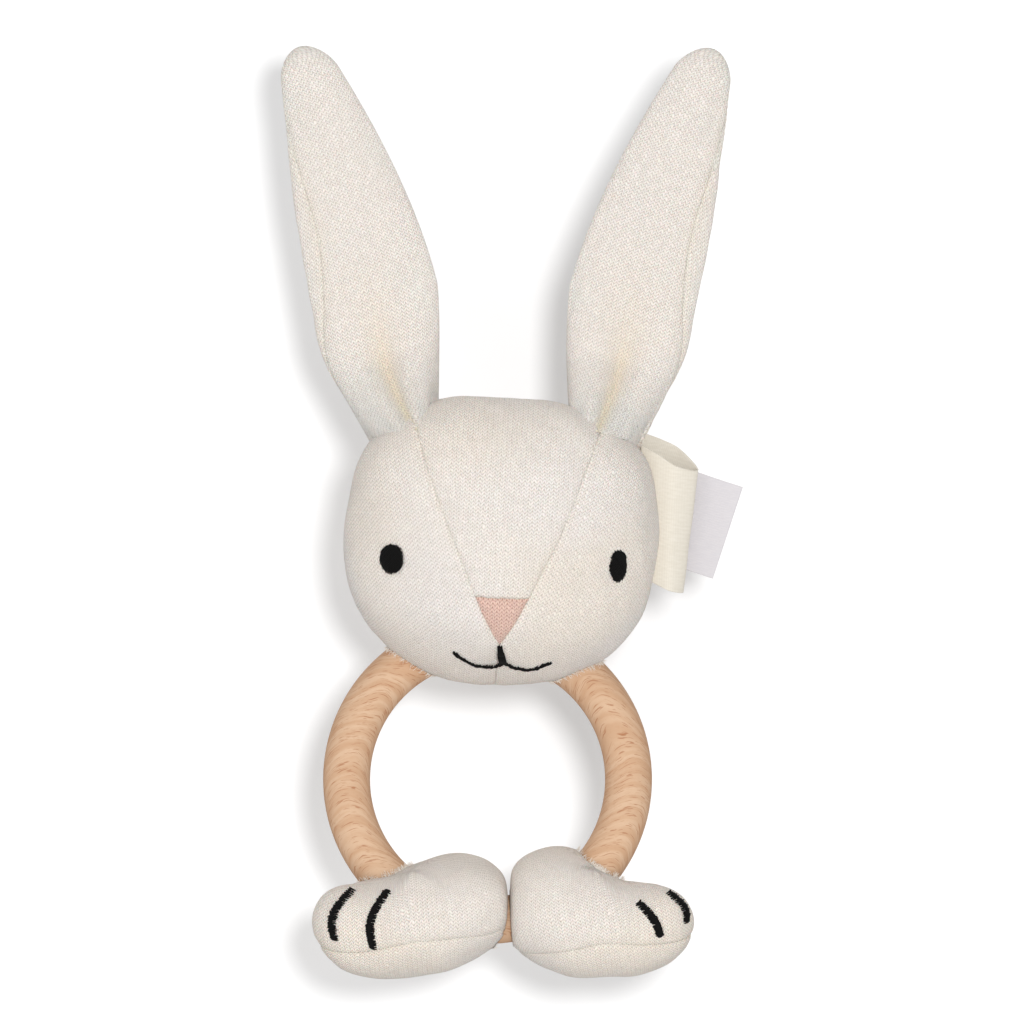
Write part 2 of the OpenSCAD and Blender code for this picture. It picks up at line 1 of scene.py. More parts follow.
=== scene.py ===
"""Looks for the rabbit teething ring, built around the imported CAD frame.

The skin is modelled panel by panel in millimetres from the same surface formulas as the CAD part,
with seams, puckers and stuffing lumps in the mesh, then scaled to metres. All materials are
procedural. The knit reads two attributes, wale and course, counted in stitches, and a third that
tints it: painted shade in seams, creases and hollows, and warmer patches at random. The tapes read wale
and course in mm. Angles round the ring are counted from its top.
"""

import json
import math
from math import pi, radians

import bmesh
import bpy
import numpy as np
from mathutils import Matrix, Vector


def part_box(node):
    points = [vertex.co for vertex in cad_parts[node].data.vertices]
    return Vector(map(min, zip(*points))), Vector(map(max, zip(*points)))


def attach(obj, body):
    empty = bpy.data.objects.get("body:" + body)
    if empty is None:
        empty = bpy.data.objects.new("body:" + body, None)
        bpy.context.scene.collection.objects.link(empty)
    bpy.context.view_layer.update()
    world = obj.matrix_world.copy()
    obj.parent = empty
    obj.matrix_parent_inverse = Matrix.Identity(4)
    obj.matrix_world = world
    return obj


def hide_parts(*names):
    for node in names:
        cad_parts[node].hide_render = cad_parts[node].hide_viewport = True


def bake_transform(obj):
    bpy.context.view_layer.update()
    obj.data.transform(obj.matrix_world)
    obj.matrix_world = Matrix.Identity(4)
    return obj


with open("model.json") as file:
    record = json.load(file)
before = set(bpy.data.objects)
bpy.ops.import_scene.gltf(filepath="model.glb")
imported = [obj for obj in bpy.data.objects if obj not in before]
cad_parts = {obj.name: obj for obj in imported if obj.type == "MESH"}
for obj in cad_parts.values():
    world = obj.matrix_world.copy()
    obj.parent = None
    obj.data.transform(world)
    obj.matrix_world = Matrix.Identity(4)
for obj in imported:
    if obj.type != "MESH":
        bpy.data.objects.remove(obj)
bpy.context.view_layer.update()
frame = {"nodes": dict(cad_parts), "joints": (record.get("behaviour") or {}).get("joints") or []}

MM = 0.001
JOINTS = {j["name"]: j for j in frame["joints"]}


def box_mm(node):
    lo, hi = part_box(node)
    return np.array(lo) / MM, np.array(hi) / MM


def joint_mm(name):
    return np.array(JOINTS[name]["pos_m"]) / MM


ring_lo, ring_hi = box_mm("wooden_ring")
TUBE_R = (ring_hi[1] - ring_lo[1]) / 2
RING_R = (ring_hi[0] - ring_lo[0]) / 2 - TUBE_R
nod_axis = JOINTS["head_nod"]["axis"]
SLIP = math.atan2(-nod_axis[2], nod_axis[0])

# The knit: width of a column of stitches, height of a row and thickness, in mm.
WALE = 1.03
COURSE = 0.76
SKIN_T = 0.75
# Radius of the openings round the bar. The feet twist, so theirs are wider.
HEAD_HOLE = TUBE_R + 0.35
FOOT_HOLE = TUBE_R + 1.0
STUFFING_HOLE = TUBE_R + 1.6

# --- arithmetic ---


def label_of(side):
    return "left" if side < 0 else "right"


def unit(v):
    return v / np.linalg.norm(v, axis=-1, keepdims=True)


def xyz(x, y, z):
    return np.stack([x, y, z], -1)


def mix(a, b, t):
    return a + (b - a) * t


def ease(t):
    t = np.clip(t, 0, 1)
    return t * t * (3 - 2 * t)


def full_turn(count):
    return np.linspace(0, 2 * pi, count, endpoint=False)


def turn_y(p, angle):
    """Turns points about the Y axis the way a positive rotation in the CAD source does."""
    c, s = math.cos(angle), math.sin(angle)
    x, y, z = p[..., 0], p[..., 1], p[..., 2]
    return xyz(x * c + z * s, y, z * c - x * s)


def arc_between(d, e):
    return np.arccos(np.clip(d @ e, -1, 1))


def sweep(a, b, t):
    w = np.arccos(np.clip((a * b).sum(-1, keepdims=True), -1, 1))
    w = np.maximum(w, 1e-6)
    return unit((np.sin((1 - t) * w) * a + np.sin(t * w) * b) / np.sin(w))


def lumps(p, size, seed):
    """Smooth wandering noise, about -1 to 1, with features of the given size in mm."""
    rng = np.random.default_rng(seed)
    total = 0
    for _ in range(7):
        wave = unit(rng.normal(size=3)) * rng.uniform(0.6, 1.4) * pi / size
        total = total + np.sin(p @ wave + rng.uniform(0, 2 * pi))
    return total / 3.2


def lengths(p, axis):
    """Running length along a grid of points, from its first row or column."""
    step = np.linalg.norm(np.diff(p, axis=axis), axis=-1)
    start = np.zeros_like(np.take(step, [0], axis=axis))
    return np.concatenate([start, np.cumsum(step, axis=axis)], axis=axis)


def grid_normals(p):
    normal = np.cross(np.gradient(p, axis=0), np.gradient(p, axis=1))
    return normal / np.maximum(np.linalg.norm(normal, axis=-1, keepdims=True), 1e-9)


def crowd_ends(count, share=0.55):
    """Steps from 0 to 1 that lie closer together at both ends."""
    t = np.linspace(0, 1, count + 1)
    return t - share * np.sin(2 * pi * t) / (2 * pi)


# --- meshes ---


def grid_faces(rows, cols, wrap=False):
    i, j = np.meshgrid(np.arange(rows - 1), np.arange(cols if wrap else cols - 1), indexing="ij")
    k = (j + 1) % cols
    quads = np.stack([i * cols + j, i * cols + k, (i + 1) * cols + k, (i + 1) * cols + j], -1)
    return quads.reshape(-1, 4)


def piece_from(name, verts, faces, attributes=None):
    """A smooth-shaded mesh object from points in mm, its faces and its per-point attributes."""
    mesh = bpy.data.meshes.new(name)
    mesh.from_pydata((np.asarray(verts, float) * MM).tolist(), [], [list(map(int, f)) for f in faces])
    for key, values in (attributes or {}).items():
        a = mesh.attributes.new(key, "FLOAT", "POINT")
        a.data.foreach_set("value", np.asarray(values, np.float32).ravel())
    mesh.shade_smooth()
    mesh.update()
    obj = bpy.data.objects.new(name, mesh)
    bpy.context.scene.collection.objects.link(obj)
    return obj


def weld(obj):
    bm = bmesh.new()
    bm.from_mesh(obj.data)
    bmesh.ops.remove_doubles(bm, verts=bm.verts, dist=0.02 * MM)
    bmesh.ops.dissolve_degenerate(bm, edges=bm.edges, dist=1e-7)
    bm.to_mesh(obj.data)
    bm.free()


def apply_modifiers(obj):
    depsgraph = bpy.context.evaluated_depsgraph_get()
    made = bpy.data.meshes.new_from_object(obj.evaluated_get(depsgraph), preserve_all_data_layers=True,
                                           depsgraph=depsgraph)
    obj.modifiers.clear()
    obj.data = made


# The points on the edge of each opening round the bar, with the name of their piece.
LIPS = []


def clear_of_ring(p, hole):
    """Moves points that fall within the ring out on to a snug lip round the wood."""
    rho = np.hypot(p[:, 0], p[:, 2])
    centre = xyz(p[:, 0] / rho * RING_R, np.zeros(len(p)), p[:, 2] / rho * RING_R)
    off = p - centre
    far = np.linalg.norm(off, axis=1)
    inside = far < hole
    return np.where(inside[:, None], centre + off / np.maximum(far, 1e-6)[:, None] * hole, p), inside


def shell(name, outer, inner, attributes, middle, wrap=False, hole=None):
    """A closed piece of fabric from two matching grids of points, facing away from the middle."""
    rows, cols = outer.shape[:2]
    faces = grid_faces(rows, cols, wrap)
    outer, inner = outer.reshape(-1, 3), inner.reshape(-1, 3)
    a, b, c, d = (outer[faces[:, k]] for k in range(4))
    out = np.cross(c - a, d - b)
    if (out * ((a + c) / 2 - middle)).sum(-1).mean() < 0:
        faces = faces[:, ::-1]
    if hole:
        outer, inside = clear_of_ring(outer, hole)
        inner, _ = clear_of_ring(inner, hole)
        faces = faces[~inside[faces].all(1)]
    edges = np.concatenate([faces[:, [k, (k + 1) % 4]] for k in range(4)])
    keys = set(map(tuple, edges.tolist()))
    rim = np.array([e for e in keys if (e[1], e[0]) not in keys])
    n = len(outer)
    edge = np.stack([rim[:, 1], rim[:, 0], rim[:, 0] + n, rim[:, 1] + n], -1)
    faces = np.concatenate([faces, faces[:, ::-1] + n, edge])
    used = np.unique(faces)
    if hole in (HEAD_HOLE, FOOT_HOLE):
        LIPS.append((name, outer[[k for k in used if k < n and inside[k]]]))
    back = np.full(2 * n, -1)
    back[used] = np.arange(len(used))
    points = np.concatenate([outer, inner])[used]
    both = {k: np.concatenate([np.ravel(v)] * 2)[used] for k, v in attributes.items()}
    obj = piece_from(name, points, back[faces], both)
    weld(obj)
    return obj


def strands(name, threads, sides=6):
    """Thin tapering tubes. Each thread is a run of points, the way each of them faces and a radius."""
    verts, faces = [], []
    angle = full_turn(sides)
    for curve, out, r in threads:
        n = len(curve)
        base = len(verts)
        t = unit(np.gradient(curve, axis=0))
        up = unit(out - (out * t).sum(-1, keepdims=True) * t)
        side = np.cross(t, up)
        from_end = np.minimum(np.arange(n), n - 1 - np.arange(n))
        taper = np.minimum(1, 0.55 + 1.6 * from_end / max(1, n - 1))
        ring = np.cos(angle)[None, :, None] * up[:, None] + np.sin(angle)[None, :, None] * side[:, None]
        points = curve[:, None] + ring * (r * taper)[:, None, None]
        verts.extend(points.reshape(-1, 3))
        verts.extend([curve[0] - t[0] * r * 0.4, curve[-1] + t[-1] * r * 0.4])
        faces.extend((grid_faces(n, sides, True) + base).tolist())
        for j in range(sides):
            k = (j + 1) % sides
            faces.append([base + n * sides, base + k, base + j])
            faces.append([base + n * sides + 1, base + (n - 1) * sides + j, base + (n - 1) * sides + k])
    return piece_from(name, verts, faces)


# --- materials ---


class Graph:
    """A small helper that wires up a node material."""

    def __init__(self, name):
        self.material = bpy.data.materials.new(name)
        self.material.use_nodes = True
        self.tree = self.material.node_tree
        self.shader = self.tree.nodes["Principled BSDF"]

    def put(self, socket, value):
        if isinstance(value, bpy.types.NodeSocket):
            self.tree.links.new(value, socket)
        elif isinstance(value, tuple) and len(value) == 3 and socket.type == "RGBA":
            socket.default_value = (*value, 1)
        else:
            socket.default_value = value

    def node(self, kind, settings=None, **inputs):
        n = self.tree.nodes.new(kind)
        for key, value in (settings or {}).items():
            setattr(n, key, value)
        for key, value in inputs.items():
            self.put(n.inputs[int(key[1:]) if key[0] == "i" and key[1:].isdigit() else key], value)
        return n

    def math(self, operation, a, b=0.0, clamp=False):
        n = self.node("ShaderNodeMath", {"operation": operation, "use_clamp": clamp}, i0=a, i1=b)
        return n.outputs[0]

    def plus(self, a, b):
        return self.math("ADD", a, b)

    def minus(self, a, b):
        return self.math("SUBTRACT", a, b)

    def times(self, a, b, clamp=False):
        return self.math("MULTIPLY", a, b, clamp)

    def attribute(self, name):
        return self.node("ShaderNodeAttribute", {"attribute_name": name}).outputs["Fac"]

    def place(self):
        return self.node("ShaderNodeTexCoord").outputs["Object"]

    def scaled(self, vector, factors):
        n = self.node("ShaderNodeVectorMath", {"operation": "MULTIPLY"}, i0=vector, i1=factors)
        return n.outputs[0]

    def noise(self, vector, scale, detail=2.0, roughness=0.5):
        n = self.node("ShaderNodeTexNoise", None, Vector=vector, Scale=scale, Detail=detail,
                      Roughness=roughness)
        return n.outputs["Fac"]

    def span(self, value, low, high, to_low=0.0, to_high=1.0):
        n = self.node("ShaderNodeMapRange", {"interpolation_type": "SMOOTHSTEP"},
                      i0=value, i1=low, i2=high, i3=to_low, i4=to_high)
        return n.outputs[0]

    def blend(self, share, a, b):
        n = self.node("ShaderNodeMix", {"data_type": "RGBA"})
        self.put(n.inputs[0], share)
        self.put(n.inputs[6], a)
        self.put(n.inputs[7], b)
        return n.outputs[2]

    def bump(self, height, distance, strength):
        n = self.node("ShaderNodeBump", None, Height=height, Distance=distance, Strength=strength)
        return n.outputs[0]

    def finish(self, **inputs):
        for key, value in inputs.items():
            self.put(self.shader.inputs[key.replace("_", " ")], value)
        return self.material


def linear(r, g, b):
    """A colour given as 0-255 display values."""
    def one(c):
        c /= 255
        return c / 12.92 if c <= 0.04045 else ((c + 0.055) / 1.055) ** 2.4
    return one(r), one(g), one(b)


def knit_material(name, yarn, gap_shade, warm_tone_and_shade, shade=0.74):
    """Stocking stitch: a column of Vs per wale, one V per course, uneven from loop to loop, with fuzz.

    The colours are those of the loops, of the painted shade in the gaps between them, and of the tint,
    which is painted shade in seams, creases and hollows and a warmer tone in random patches."""
    g = Graph(name)
    place = g.place()
    wobble = g.minus(g.noise(place, 700.0), 0.5)
    wale = g.plus(g.attribute("wale"), g.times(wobble, 0.7))
    course = g.plus(g.attribute("course"), g.times(wobble, 0.8))
    a = g.math("ABSOLUTE", g.minus(g.math("FRACT", wale), 0.5))
    row = g.minus(course, g.times(a, 1.6))
    p = g.math("FRACT", row)
    swell = g.math("SINE", g.times(p, pi))
    fill = g.times(g.times(swell, swell), 0.34 * pi)
    reach = g.minus(1.76 * pi, fill)
    across = g.math("SINE", g.plus(g.times(a, reach), 0.12 * pi))
    across = g.math("POWER", g.math("MAXIMUM", across, 0.0), 0.7)
    along = g.math("POWER", swell, 0.55)
    loop = g.times(across, along)
    spot = g.node("ShaderNodeCombineXYZ", None, X=g.math("FLOOR", g.times(wale, 2.0)),
                  Y=g.math("FLOOR", row), Z=0.0)
    odd = g.node("ShaderNodeTexWhiteNoise", {"noise_dimensions": "3D"}, Vector=spot.outputs[0])
    odd = odd.outputs["Value"]
    fuzz = g.noise(place, 5200.0, 3.0, 0.65)
    height = g.times(loop, g.span(odd, 0.0, 1.0, 0.75, 1.1))
    height = g.plus(height, g.times(fuzz, 0.55))
    depth = g.minus(1.0, loop)
    patch = g.span(g.noise(place, 160.0), 0.3, 0.7)
    tint = g.blend(g.times(patch, 0.5), yarn, tuple(c * 0.96 for c in yarn))
    tint = g.blend(g.times(odd, 0.10), tint, gap_shade)
    # Painted shade: the tint attribute darkens and warms the knit in seams, creases and hollows;
    # elsewhere it warms patches at random.
    tint = g.blend(g.attribute("warmth_and_shade"), tint, warm_tone_and_shade)
    # Painted shade: the gaps between the loops are darkened towards the gap colour, the more the deeper
    # they lie.
    colour = g.blend(g.times(g.math("POWER", depth, 2.0), shade, clamp=True), tint, gap_shade)
    halo = tuple(min(1, c * 1.08) for c in yarn)
    colour = g.blend(g.times(g.span(fuzz, 0.45, 0.72), 0.22), colour, halo)
    return g.finish(Base_Color=colour, Roughness=0.92, Sheen_Weight=0.2, Sheen_Roughness=0.5,
                    Subsurface_Weight=0.10, Subsurface_Scale=0.0010, Specular_IOR_Level=0.12,
                    Normal=g.bump(height, 0.00026, 0.8))


def beech_material():
    """Sanded beech. Its growth layers lean, and cross the bar as arches with short brown flecks."""
    g = Graph("beech")
    place = g.place()
    split = g.node("ShaderNodeSeparateXYZ", None, i0=place)
    x, y, z = (g.times(split.outputs[k], 1000.0) for k in range(3))
    drift = g.times(g.minus(g.noise(place, 55.0, 1.0), 0.5), 12.0)
    waver = g.times(g.minus(g.noise(place, 330.0, 1.0), 0.5), 0.9)
    layer = g.plus(g.plus(z, g.times(y, 1.15)), g.plus(drift, waver))

    def streaks(along, through, seed, detail=1.0):
        v = g.node("ShaderNodeCombineXYZ", None, X=g.times(x, along),
                   Y=g.plus(g.times(y, along), seed), Z=g.times(layer, through))
        return g.noise(v.outputs[0], 1.0, detail)

    light, mid = linear(205, 173, 144), linear(194, 157, 126)
    colour = g.blend(g.span(streaks(0.04, 0.55, 3.0, 2.0), 0.35, 0.66), light, mid)
    colour = g.blend(g.times(g.span(streaks(0.12, 1.5, 11.0), 0.52, 0.72), 0.30), colour,
                     linear(188, 147, 113))
    colour = g.blend(g.times(g.span(streaks(0.50, 5.2, 23.0, 0.0), 0.66, 0.76), 0.70), colour,
                     linear(158, 104, 70))
    colour = g.blend(g.times(g.span(streaks(0.26, 3.6, 41.0, 0.0), 0.69, 0.80), 0.60), colour,
                     linear(164, 110, 75))
    pores = g.span(streaks(1.7, 7.5, 57.0, 0.0), 0.64, 0.80)
    colour = g.blend(g.times(pores, 0.20), colour, linear(186, 138, 102))
    # Painted shade: the bar turns darker brown towards its edges, where it turns away from the view.
    rim = g.node("ShaderNodeLayerWeight", None, Blend=0.32).outputs["Facing"]
    colour = g.blend(g.times(g.math("POWER", rim, 2.0), 0.55), colour, linear(180, 128, 90))
    height = g.minus(g.times(g.noise(place, 2600.0), 0.5), pores)
    return g.finish(Base_Color=colour, Roughness=0.72, Specular_IOR_Level=0.18,
                    Normal=g.bump(height, 0.00004, 0.4))


def thread_material():
    g = Graph("black_thread")
    fuzz = g.noise(g.place(), 9000.0)
    colour = g.blend(g.span(fuzz, 0.3, 0.8), linear(2, 2, 2), linear(14, 13, 12))
    return g.finish(Base_Color=colour, Roughness=0.65, Sheen_Weight=0.02, Specular_IOR_Level=0.12,
                    Normal=g.bump(fuzz, 0.00008, 0.7))


def tape_material(name, light, dark, roughness, warp, weft, sheen):
    """Woven tape: warp threads along the tape, weft threads across it, both in mm of spacing."""
    g = Graph(name)
    u, v = g.attribute("wale"), g.attribute("course")
    over = g.math("SINE", g.times(u, 2 * pi / warp))
    under = g.math("SINE", g.times(v, 2 * pi / weft))
    weave = g.plus(g.times(over, 0.35), g.plus(g.times(under, 0.15), 0.5))
    slub = g.noise(g.scaled(g.place(), (1.0, 1.0, 5.0)), 500.0, 3.0, 0.6)
    height = g.plus(weave, g.times(slub, 0.5))
    # Painted shade: the troughs of the weave are darkened; the slubs darken the tape at random.
    colour = g.blend(g.times(g.minus(1.0, weave), 0.4), light, dark)
    colour = g.blend(g.times(g.span(slub, 0.35, 0.65), 0.25), colour, dark)
    return g.finish(Base_Color=colour, Roughness=roughness, Sheen_Weight=sheen, Sheen_Roughness=0.4,
                    Specular_IOR_Level=0.3, Normal=g.bump(height, 0.00005, 0.8))


def fibre_material():
    g = Graph("stuffing_fibre")
    tangle = g.noise(g.place(), 1400.0, 6.0, 0.75)
    colour = g.blend(g.span(tangle, 0.3, 0.7), linear(226, 226, 223), linear(250, 250, 248))
    return g.finish(Base_Color=colour, Roughness=0.95, Sheen_Weight=0.4,
                    Normal=g.bump(tangle, 0.0008, 0.9))


def plastic_material(name, colour, roughness):
    g = Graph(name)
    grain = g.noise(g.place(), 2500.0)
    shade = g.blend(g.times(g.span(g.noise(g.place(), 90.0), 0.3, 0.7), 0.2), colour,
                    tuple(c * 0.9 for c in colour))
    return g.finish(Base_Color=shade, Roughness=g.span(grain, 0.2, 0.8, roughness, roughness + 0.12),
                    Normal=g.bump(grain, 0.00003, 0.4))


# The third colour of each knit is a darker, warmer tone, used as painted shade in seams, creases and
# hollows and for warmer patches at random.
cream_knit = knit_material("knit_cream", linear(239, 233, 228), linear(150, 134, 120),
                           linear(235, 218, 190))
pink_knit = knit_material("knit_pink", linear(228, 197, 183), linear(136, 70, 58),
                          linear(228, 196, 180), 0.9)
cotton_tape = tape_material("label_cotton", linear(225, 219, 207), linear(203, 195, 179),
                            0.85, 0.42, 0.9, 0.2)
satin_tape = tape_material("label_satin", linear(215, 211, 213), linear(196, 193, 199),
                           0.38, 0.16, 0.5, 0.35)
black_thread = thread_material()
fibre = fibre_material()
stray = plastic_material("stray_fibres", linear(236, 229, 219), 0.8)
beech = beech_material()


def dress(obj, material, *stands_for):
    obj.data.materials.clear()
    obj.data.materials.append(material)
    if stands_for:
        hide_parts(*stands_for)
    return obj


def repaint(node, material):
    slots = frame["nodes"][node].material_slots
    if not slots:
        frame["nodes"][node].data.materials.append(material)
    for s in slots:
        s.material = material


# --- the head ---

HEAD_MID = np.array([0, 0, 50.0])
HALF_W, HALF_D, CROWN_H, CHIN_H = 33.2, 26.0, 31.5, 29.6
MUZZLE = unit(np.array([0, -0.86, -0.52]))
MUZZLE_RISE, MUZZLE_SPREAD = 2.4, radians(26)
EAR_DENT, DENT_SPREAD = 1.8, radians(15)
# Heights along the forehead seams are counted from this far below the middle of the head.
SEAM_FOOT_DROP = 21.4
NOSE_TIP_H, NOSE_TOP_H = 1.4, 10.9
SEAM_TOP_H = CROWN_H + SEAM_FOOT_DROP - 3.2
ROOT_ANGLE = {-1: radians(41), 1: radians(36)}


def ear_dir(side):
    return np.array([side * math.sin(ROOT_ANGLE[side]), 0, math.cos(ROOT_ANGLE[side])])


def head_power(up):
    return mix(2.25, 2.9, ease((up + 0.2) / 0.8))


def head_reach(d):
    n = head_power(d[..., 2])
    half_h = np.where(d[..., 2] > 0, CROWN_H, CHIN_H)
    block = ((np.abs(d[..., 0]) / HALF_W) ** n + (np.abs(d[..., 1]) / HALF_D) ** n
             + (np.abs(d[..., 2]) / half_h) ** n) ** (-1 / n)
    muzzle = MUZZLE_RISE * np.exp(-(arc_between(d, MUZZLE) / MUZZLE_SPREAD) ** 2)
    dents = sum(np.exp(-(arc_between(d, ear_dir(s)) / DENT_SPREAD) ** 2) for s in (-1, 1))
    return block + muzzle - EAR_DENT * dents


def head_place(d, rise=0.0):
    """A place on the head, rise mm off its surface, in the row frame."""
    reach = head_reach(d) + rise
    return turn_y(HEAD_MID + reach[..., None] * d, SLIP)


def face_dir(x, z):
    x, z = np.broadcast_arrays(np.asarray(x, float), np.asarray(z, float))
    half_h = np.where(z > 0, CROWN_H, CHIN_H)
    n = head_power(z / half_h)
    rest = 1 - (np.abs(x) / HALF_W) ** n - (np.abs(z) / half_h) ** n
    return unit(xyz(x, -HALF_D * np.maximum(0, rest) ** (1 / n), z))


def forehead_half(h):
    return np.maximum(0.01, 0.57 * h - 0.0031 * h * h - 0.85 * np.exp(-h / 14))


def forehead_seam(h, side):
    """A point on one of the two seams that run from the crown down to the tip of the nose."""
    drift = 0.9 * (1 - ease((h - 16) / 26))
    return face_dir(side * forehead_half(h) + drift, h - SEAM_FOOT_DROP)


def seam_h(share, low, high):
    return low + (high - low) * np.sin(pi / 2 * share)


def side_seam(a):
    return xyz(np.cos(a), np.zeros_like(a), np.sin(a))


CORNER = forehead_seam(SEAM_TOP_H, 1)
CORNER_A = math.atan2(CORNER[2], CORNER[0])


def stitch_grid(d, side, along_seam):
    """Wale and course counts for places on the head, from distances measured over its surface."""
    p = head_reach(d)[..., None] * d
    x, y, z = p[..., 0], np.abs(p[..., 1]), p[..., 2]
    half_h = np.where(z > 0, CROWN_H, CHIN_H)
    n = head_power(z / half_h)

    def from_middle(a, b, half_b):
        deep = HALF_D * np.maximum(0, 1 - np.minimum(1, np.abs(b) / half_b) ** n) ** (1 / n)
        return np.sign(a) * np.hypot(a, np.maximum(0, deep - y))

    lean = along_seam * forehead_half(np.clip(z + SEAM_FOOT_DROP, -6, 52))
    return (from_middle(x, z, half_h) - side * lean) / WALE, from_middle(z, x, HALF_W) / COURSE


def seam_relief(p, gaps, weights, seed):
    """How far a panel stands off the head, from the distances in mm to its sewn edges."""
    near = np.min(gaps, axis=0)
    dip = np.max([w * np.exp(-g / 0.75) for g, w in zip(gaps, weights)], axis=0)
    crown = 0.42 * (1 - np.exp(-near / 5.0))
    pucker = 0.10 * np.sin(p @ np.array([2.9, 1.7, 3.6])) * np.exp(-near / 1.6)
    pucker += 0.12 * lumps(p, 2.4, seed + 50) * np.exp(-near / 2.2)
    rise = crown - 0.12 - 0.42 * dip + pucker
    return rise + 0.30 * lumps(p, 11.0, seed) + 0.09 * lumps(p, 4.2, seed + 9)


def nod(obj):
    """Bakes the piece's placement into its mesh."""
    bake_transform(obj)


def filling(name, place, middle):
    """The outer layer of a part's stuffing, just under its knit and open where the ring passes."""
    rows = np.linspace(-pi / 2, pi / 2, 70)
    turns = full_turn(120)
    e, a = np.meshgrid(rows, turns, indexing="ij")
    d = xyz(np.cos(e) * np.cos(a), np.cos(e) * np.sin(a), np.sin(e))
    depth = -1.6 + 0.25 * lumps(d * 30, 5.0, 88)
    obj = shell(name + "_filling", place(d, depth), place(d, depth - 3.0), {}, middle, wrap=True,
                hole=STUFFING_HOLE)
    return dress(obj, fibre, name + "_stuffing")


def head_panel(name, edge_a, edge_b, cols, ends, side, along_seam, material=cream_knit):
    """A panel between two edges. ends weighs the seams across its ends; along_seam turns its wales."""
    d = sweep(edge_a[:, None], edge_b[:, None], crowd_ends(cols)[None, :, None])
    p = head_reach(d)[..., None] * d
    run, drop = lengths(p, 1), lengths(p, 0)
    gaps = np.array([run, run[:, -1:] - run, drop, drop[-1:] - drop])
    gaps[2] += 0 if ends[0] else 99
    gaps[3] += 0 if ends[1] else 99
    weights = (1.0, 1.0, ends[0], ends[1])
    wale, course = stitch_grid(d, side, along_seam)
    rise = seam_relief(p, gaps, weights, 1)
    # Painted shade: the knit is tinted darker and warmer along the seams; the lumps give warmer patches
    # at random.
    seam = np.max([w * np.exp(-g / 0.8) for g, w in zip(gaps, weights)], axis=0)
    tint = 0.25 * ease(0.5 + 0.6 * lumps(p, 16.0, 4)) + 0.16 * seam
    attributes = {"wale": wale, "course": course, "warmth_and_shade": tint}
    obj = shell(name, head_place(d, rise), head_place(d, rise - SKIN_T), attributes,
                turn_y(HEAD_MID, SLIP), hole=HEAD_HOLE)
    dress(obj, material, name + "_panel")
    nod(obj)


def build_head():
    heights = seam_h(np.linspace(0, 1, 120), NOSE_TOP_H, SEAM_TOP_H)
    edges = []
    for side in (-1, 1):
        corner = forehead_seam(SEAM_TOP_H, side)
        crest = side_seam(np.array([CORNER_A])) * np.array([side, 1, 1])
        over = sweep(corner[None], crest, np.linspace(0, 1, 16)[1:, None])
        edges.append(np.concatenate([forehead_seam(heights, side), over]))
    head_panel("forehead", edges[0], edges[1], 100, (1.0, 1.0), 0, 0.0)
    heights = np.linspace(NOSE_TIP_H, NOSE_TOP_H, 36)
    edges = [forehead_seam(heights, side) for side in (-1, 1)]
    head_panel("nose", edges[0], edges[1], 28, (0, 1.0), 0, 0.0, pink_knit)
    share = np.linspace(0, 1, 170)
    for side in (-1, 1):
        label = label_of(side)
        inner = forehead_seam(seam_h(1 - share, NOSE_TIP_H, SEAM_TOP_H), side)
        rim = side_seam(mix(CORNER_A, -pi / 2, share)) * np.array([side, 1, 1])
        head_panel(label + "_cheek", inner, rim, 100, (0, 0.25), side, 0.72)
        a = mix(0, pi, share)
        centre = xyz(np.zeros_like(a), np.sin(a), np.cos(a))
        head_panel("back_" + label, centre, rim, 100, (1.0, 0), side, 0.0)


# --- ears ---

EAR_LEN = {-1: 81.0, 1: 82.0}
EAR_LEAN = {-1: radians(15.3), 1: radians(16.3)}
# Width, share of the length at which it is widest, radius of the tip and distance of the root.
EAR_W, EAR_WIDEST, EAR_TIP_R, ROOT_R = 27.4, 0.295, 6.3, 1.5
# Where each ear's root lies: the place of its flop joint, in mm.
EAR_ROOT = {-1: joint_mm("left_ear_flop"), 1: joint_mm("right_ear_flop")}
# Where each ear's base is sewn to the front of the head: inner end, pinch and outer end, as places
# across and up from the middle of the head.
EAR_BASE = {-1: ((15.3, 30.2), (19.5, 23.5), (28.9, 19.8)),
            1: ((12.3, 28.8), (18.9, 25.4), (29.0, 22.2))}


def ear_shape(s):
    below = 1 - 0.375 * np.clip(1 - s / EAR_WIDEST, 0, 1) ** 2
    above = 1 - 0.64 * np.clip((s - EAR_WIDEST) / (1 - EAR_WIDEST), 0, 1) ** 1.62
    return np.where(s < EAR_WIDEST, below, above)


def ear_half(s, side):
    from_tip = (1 - s) * EAR_LEN[side]
    cap = np.sqrt(np.clip(2 * EAR_TIP_R * from_tip - from_tip ** 2, 0, None)) / EAR_TIP_R
    return EAR_W / 2 * ear_shape(s) * np.where(from_tip < EAR_TIP_R, cap, 1)


def ear_bow(s):
    return 1.65 * np.sin(pi * s) - 0.85 * np.sin(pi * np.clip(s / EAR_WIDEST, 0, 1))


def ear_forward(s, q):
    """The base is folded: two lobes come forward either side of a crease that opens into a hollow."""
    fold = np.clip(1 - s / 0.46, 0, 1) ** 1.7
    width = 0.10 + 1.45 * s
    crease = np.exp(-(np.abs(q) / width) ** 1.6)
    lobes = (1 - crease) * np.clip(1 - q * q, 0, 1) ** 0.5
    return fold * (5.2 * lobes - 1.3 * crease)


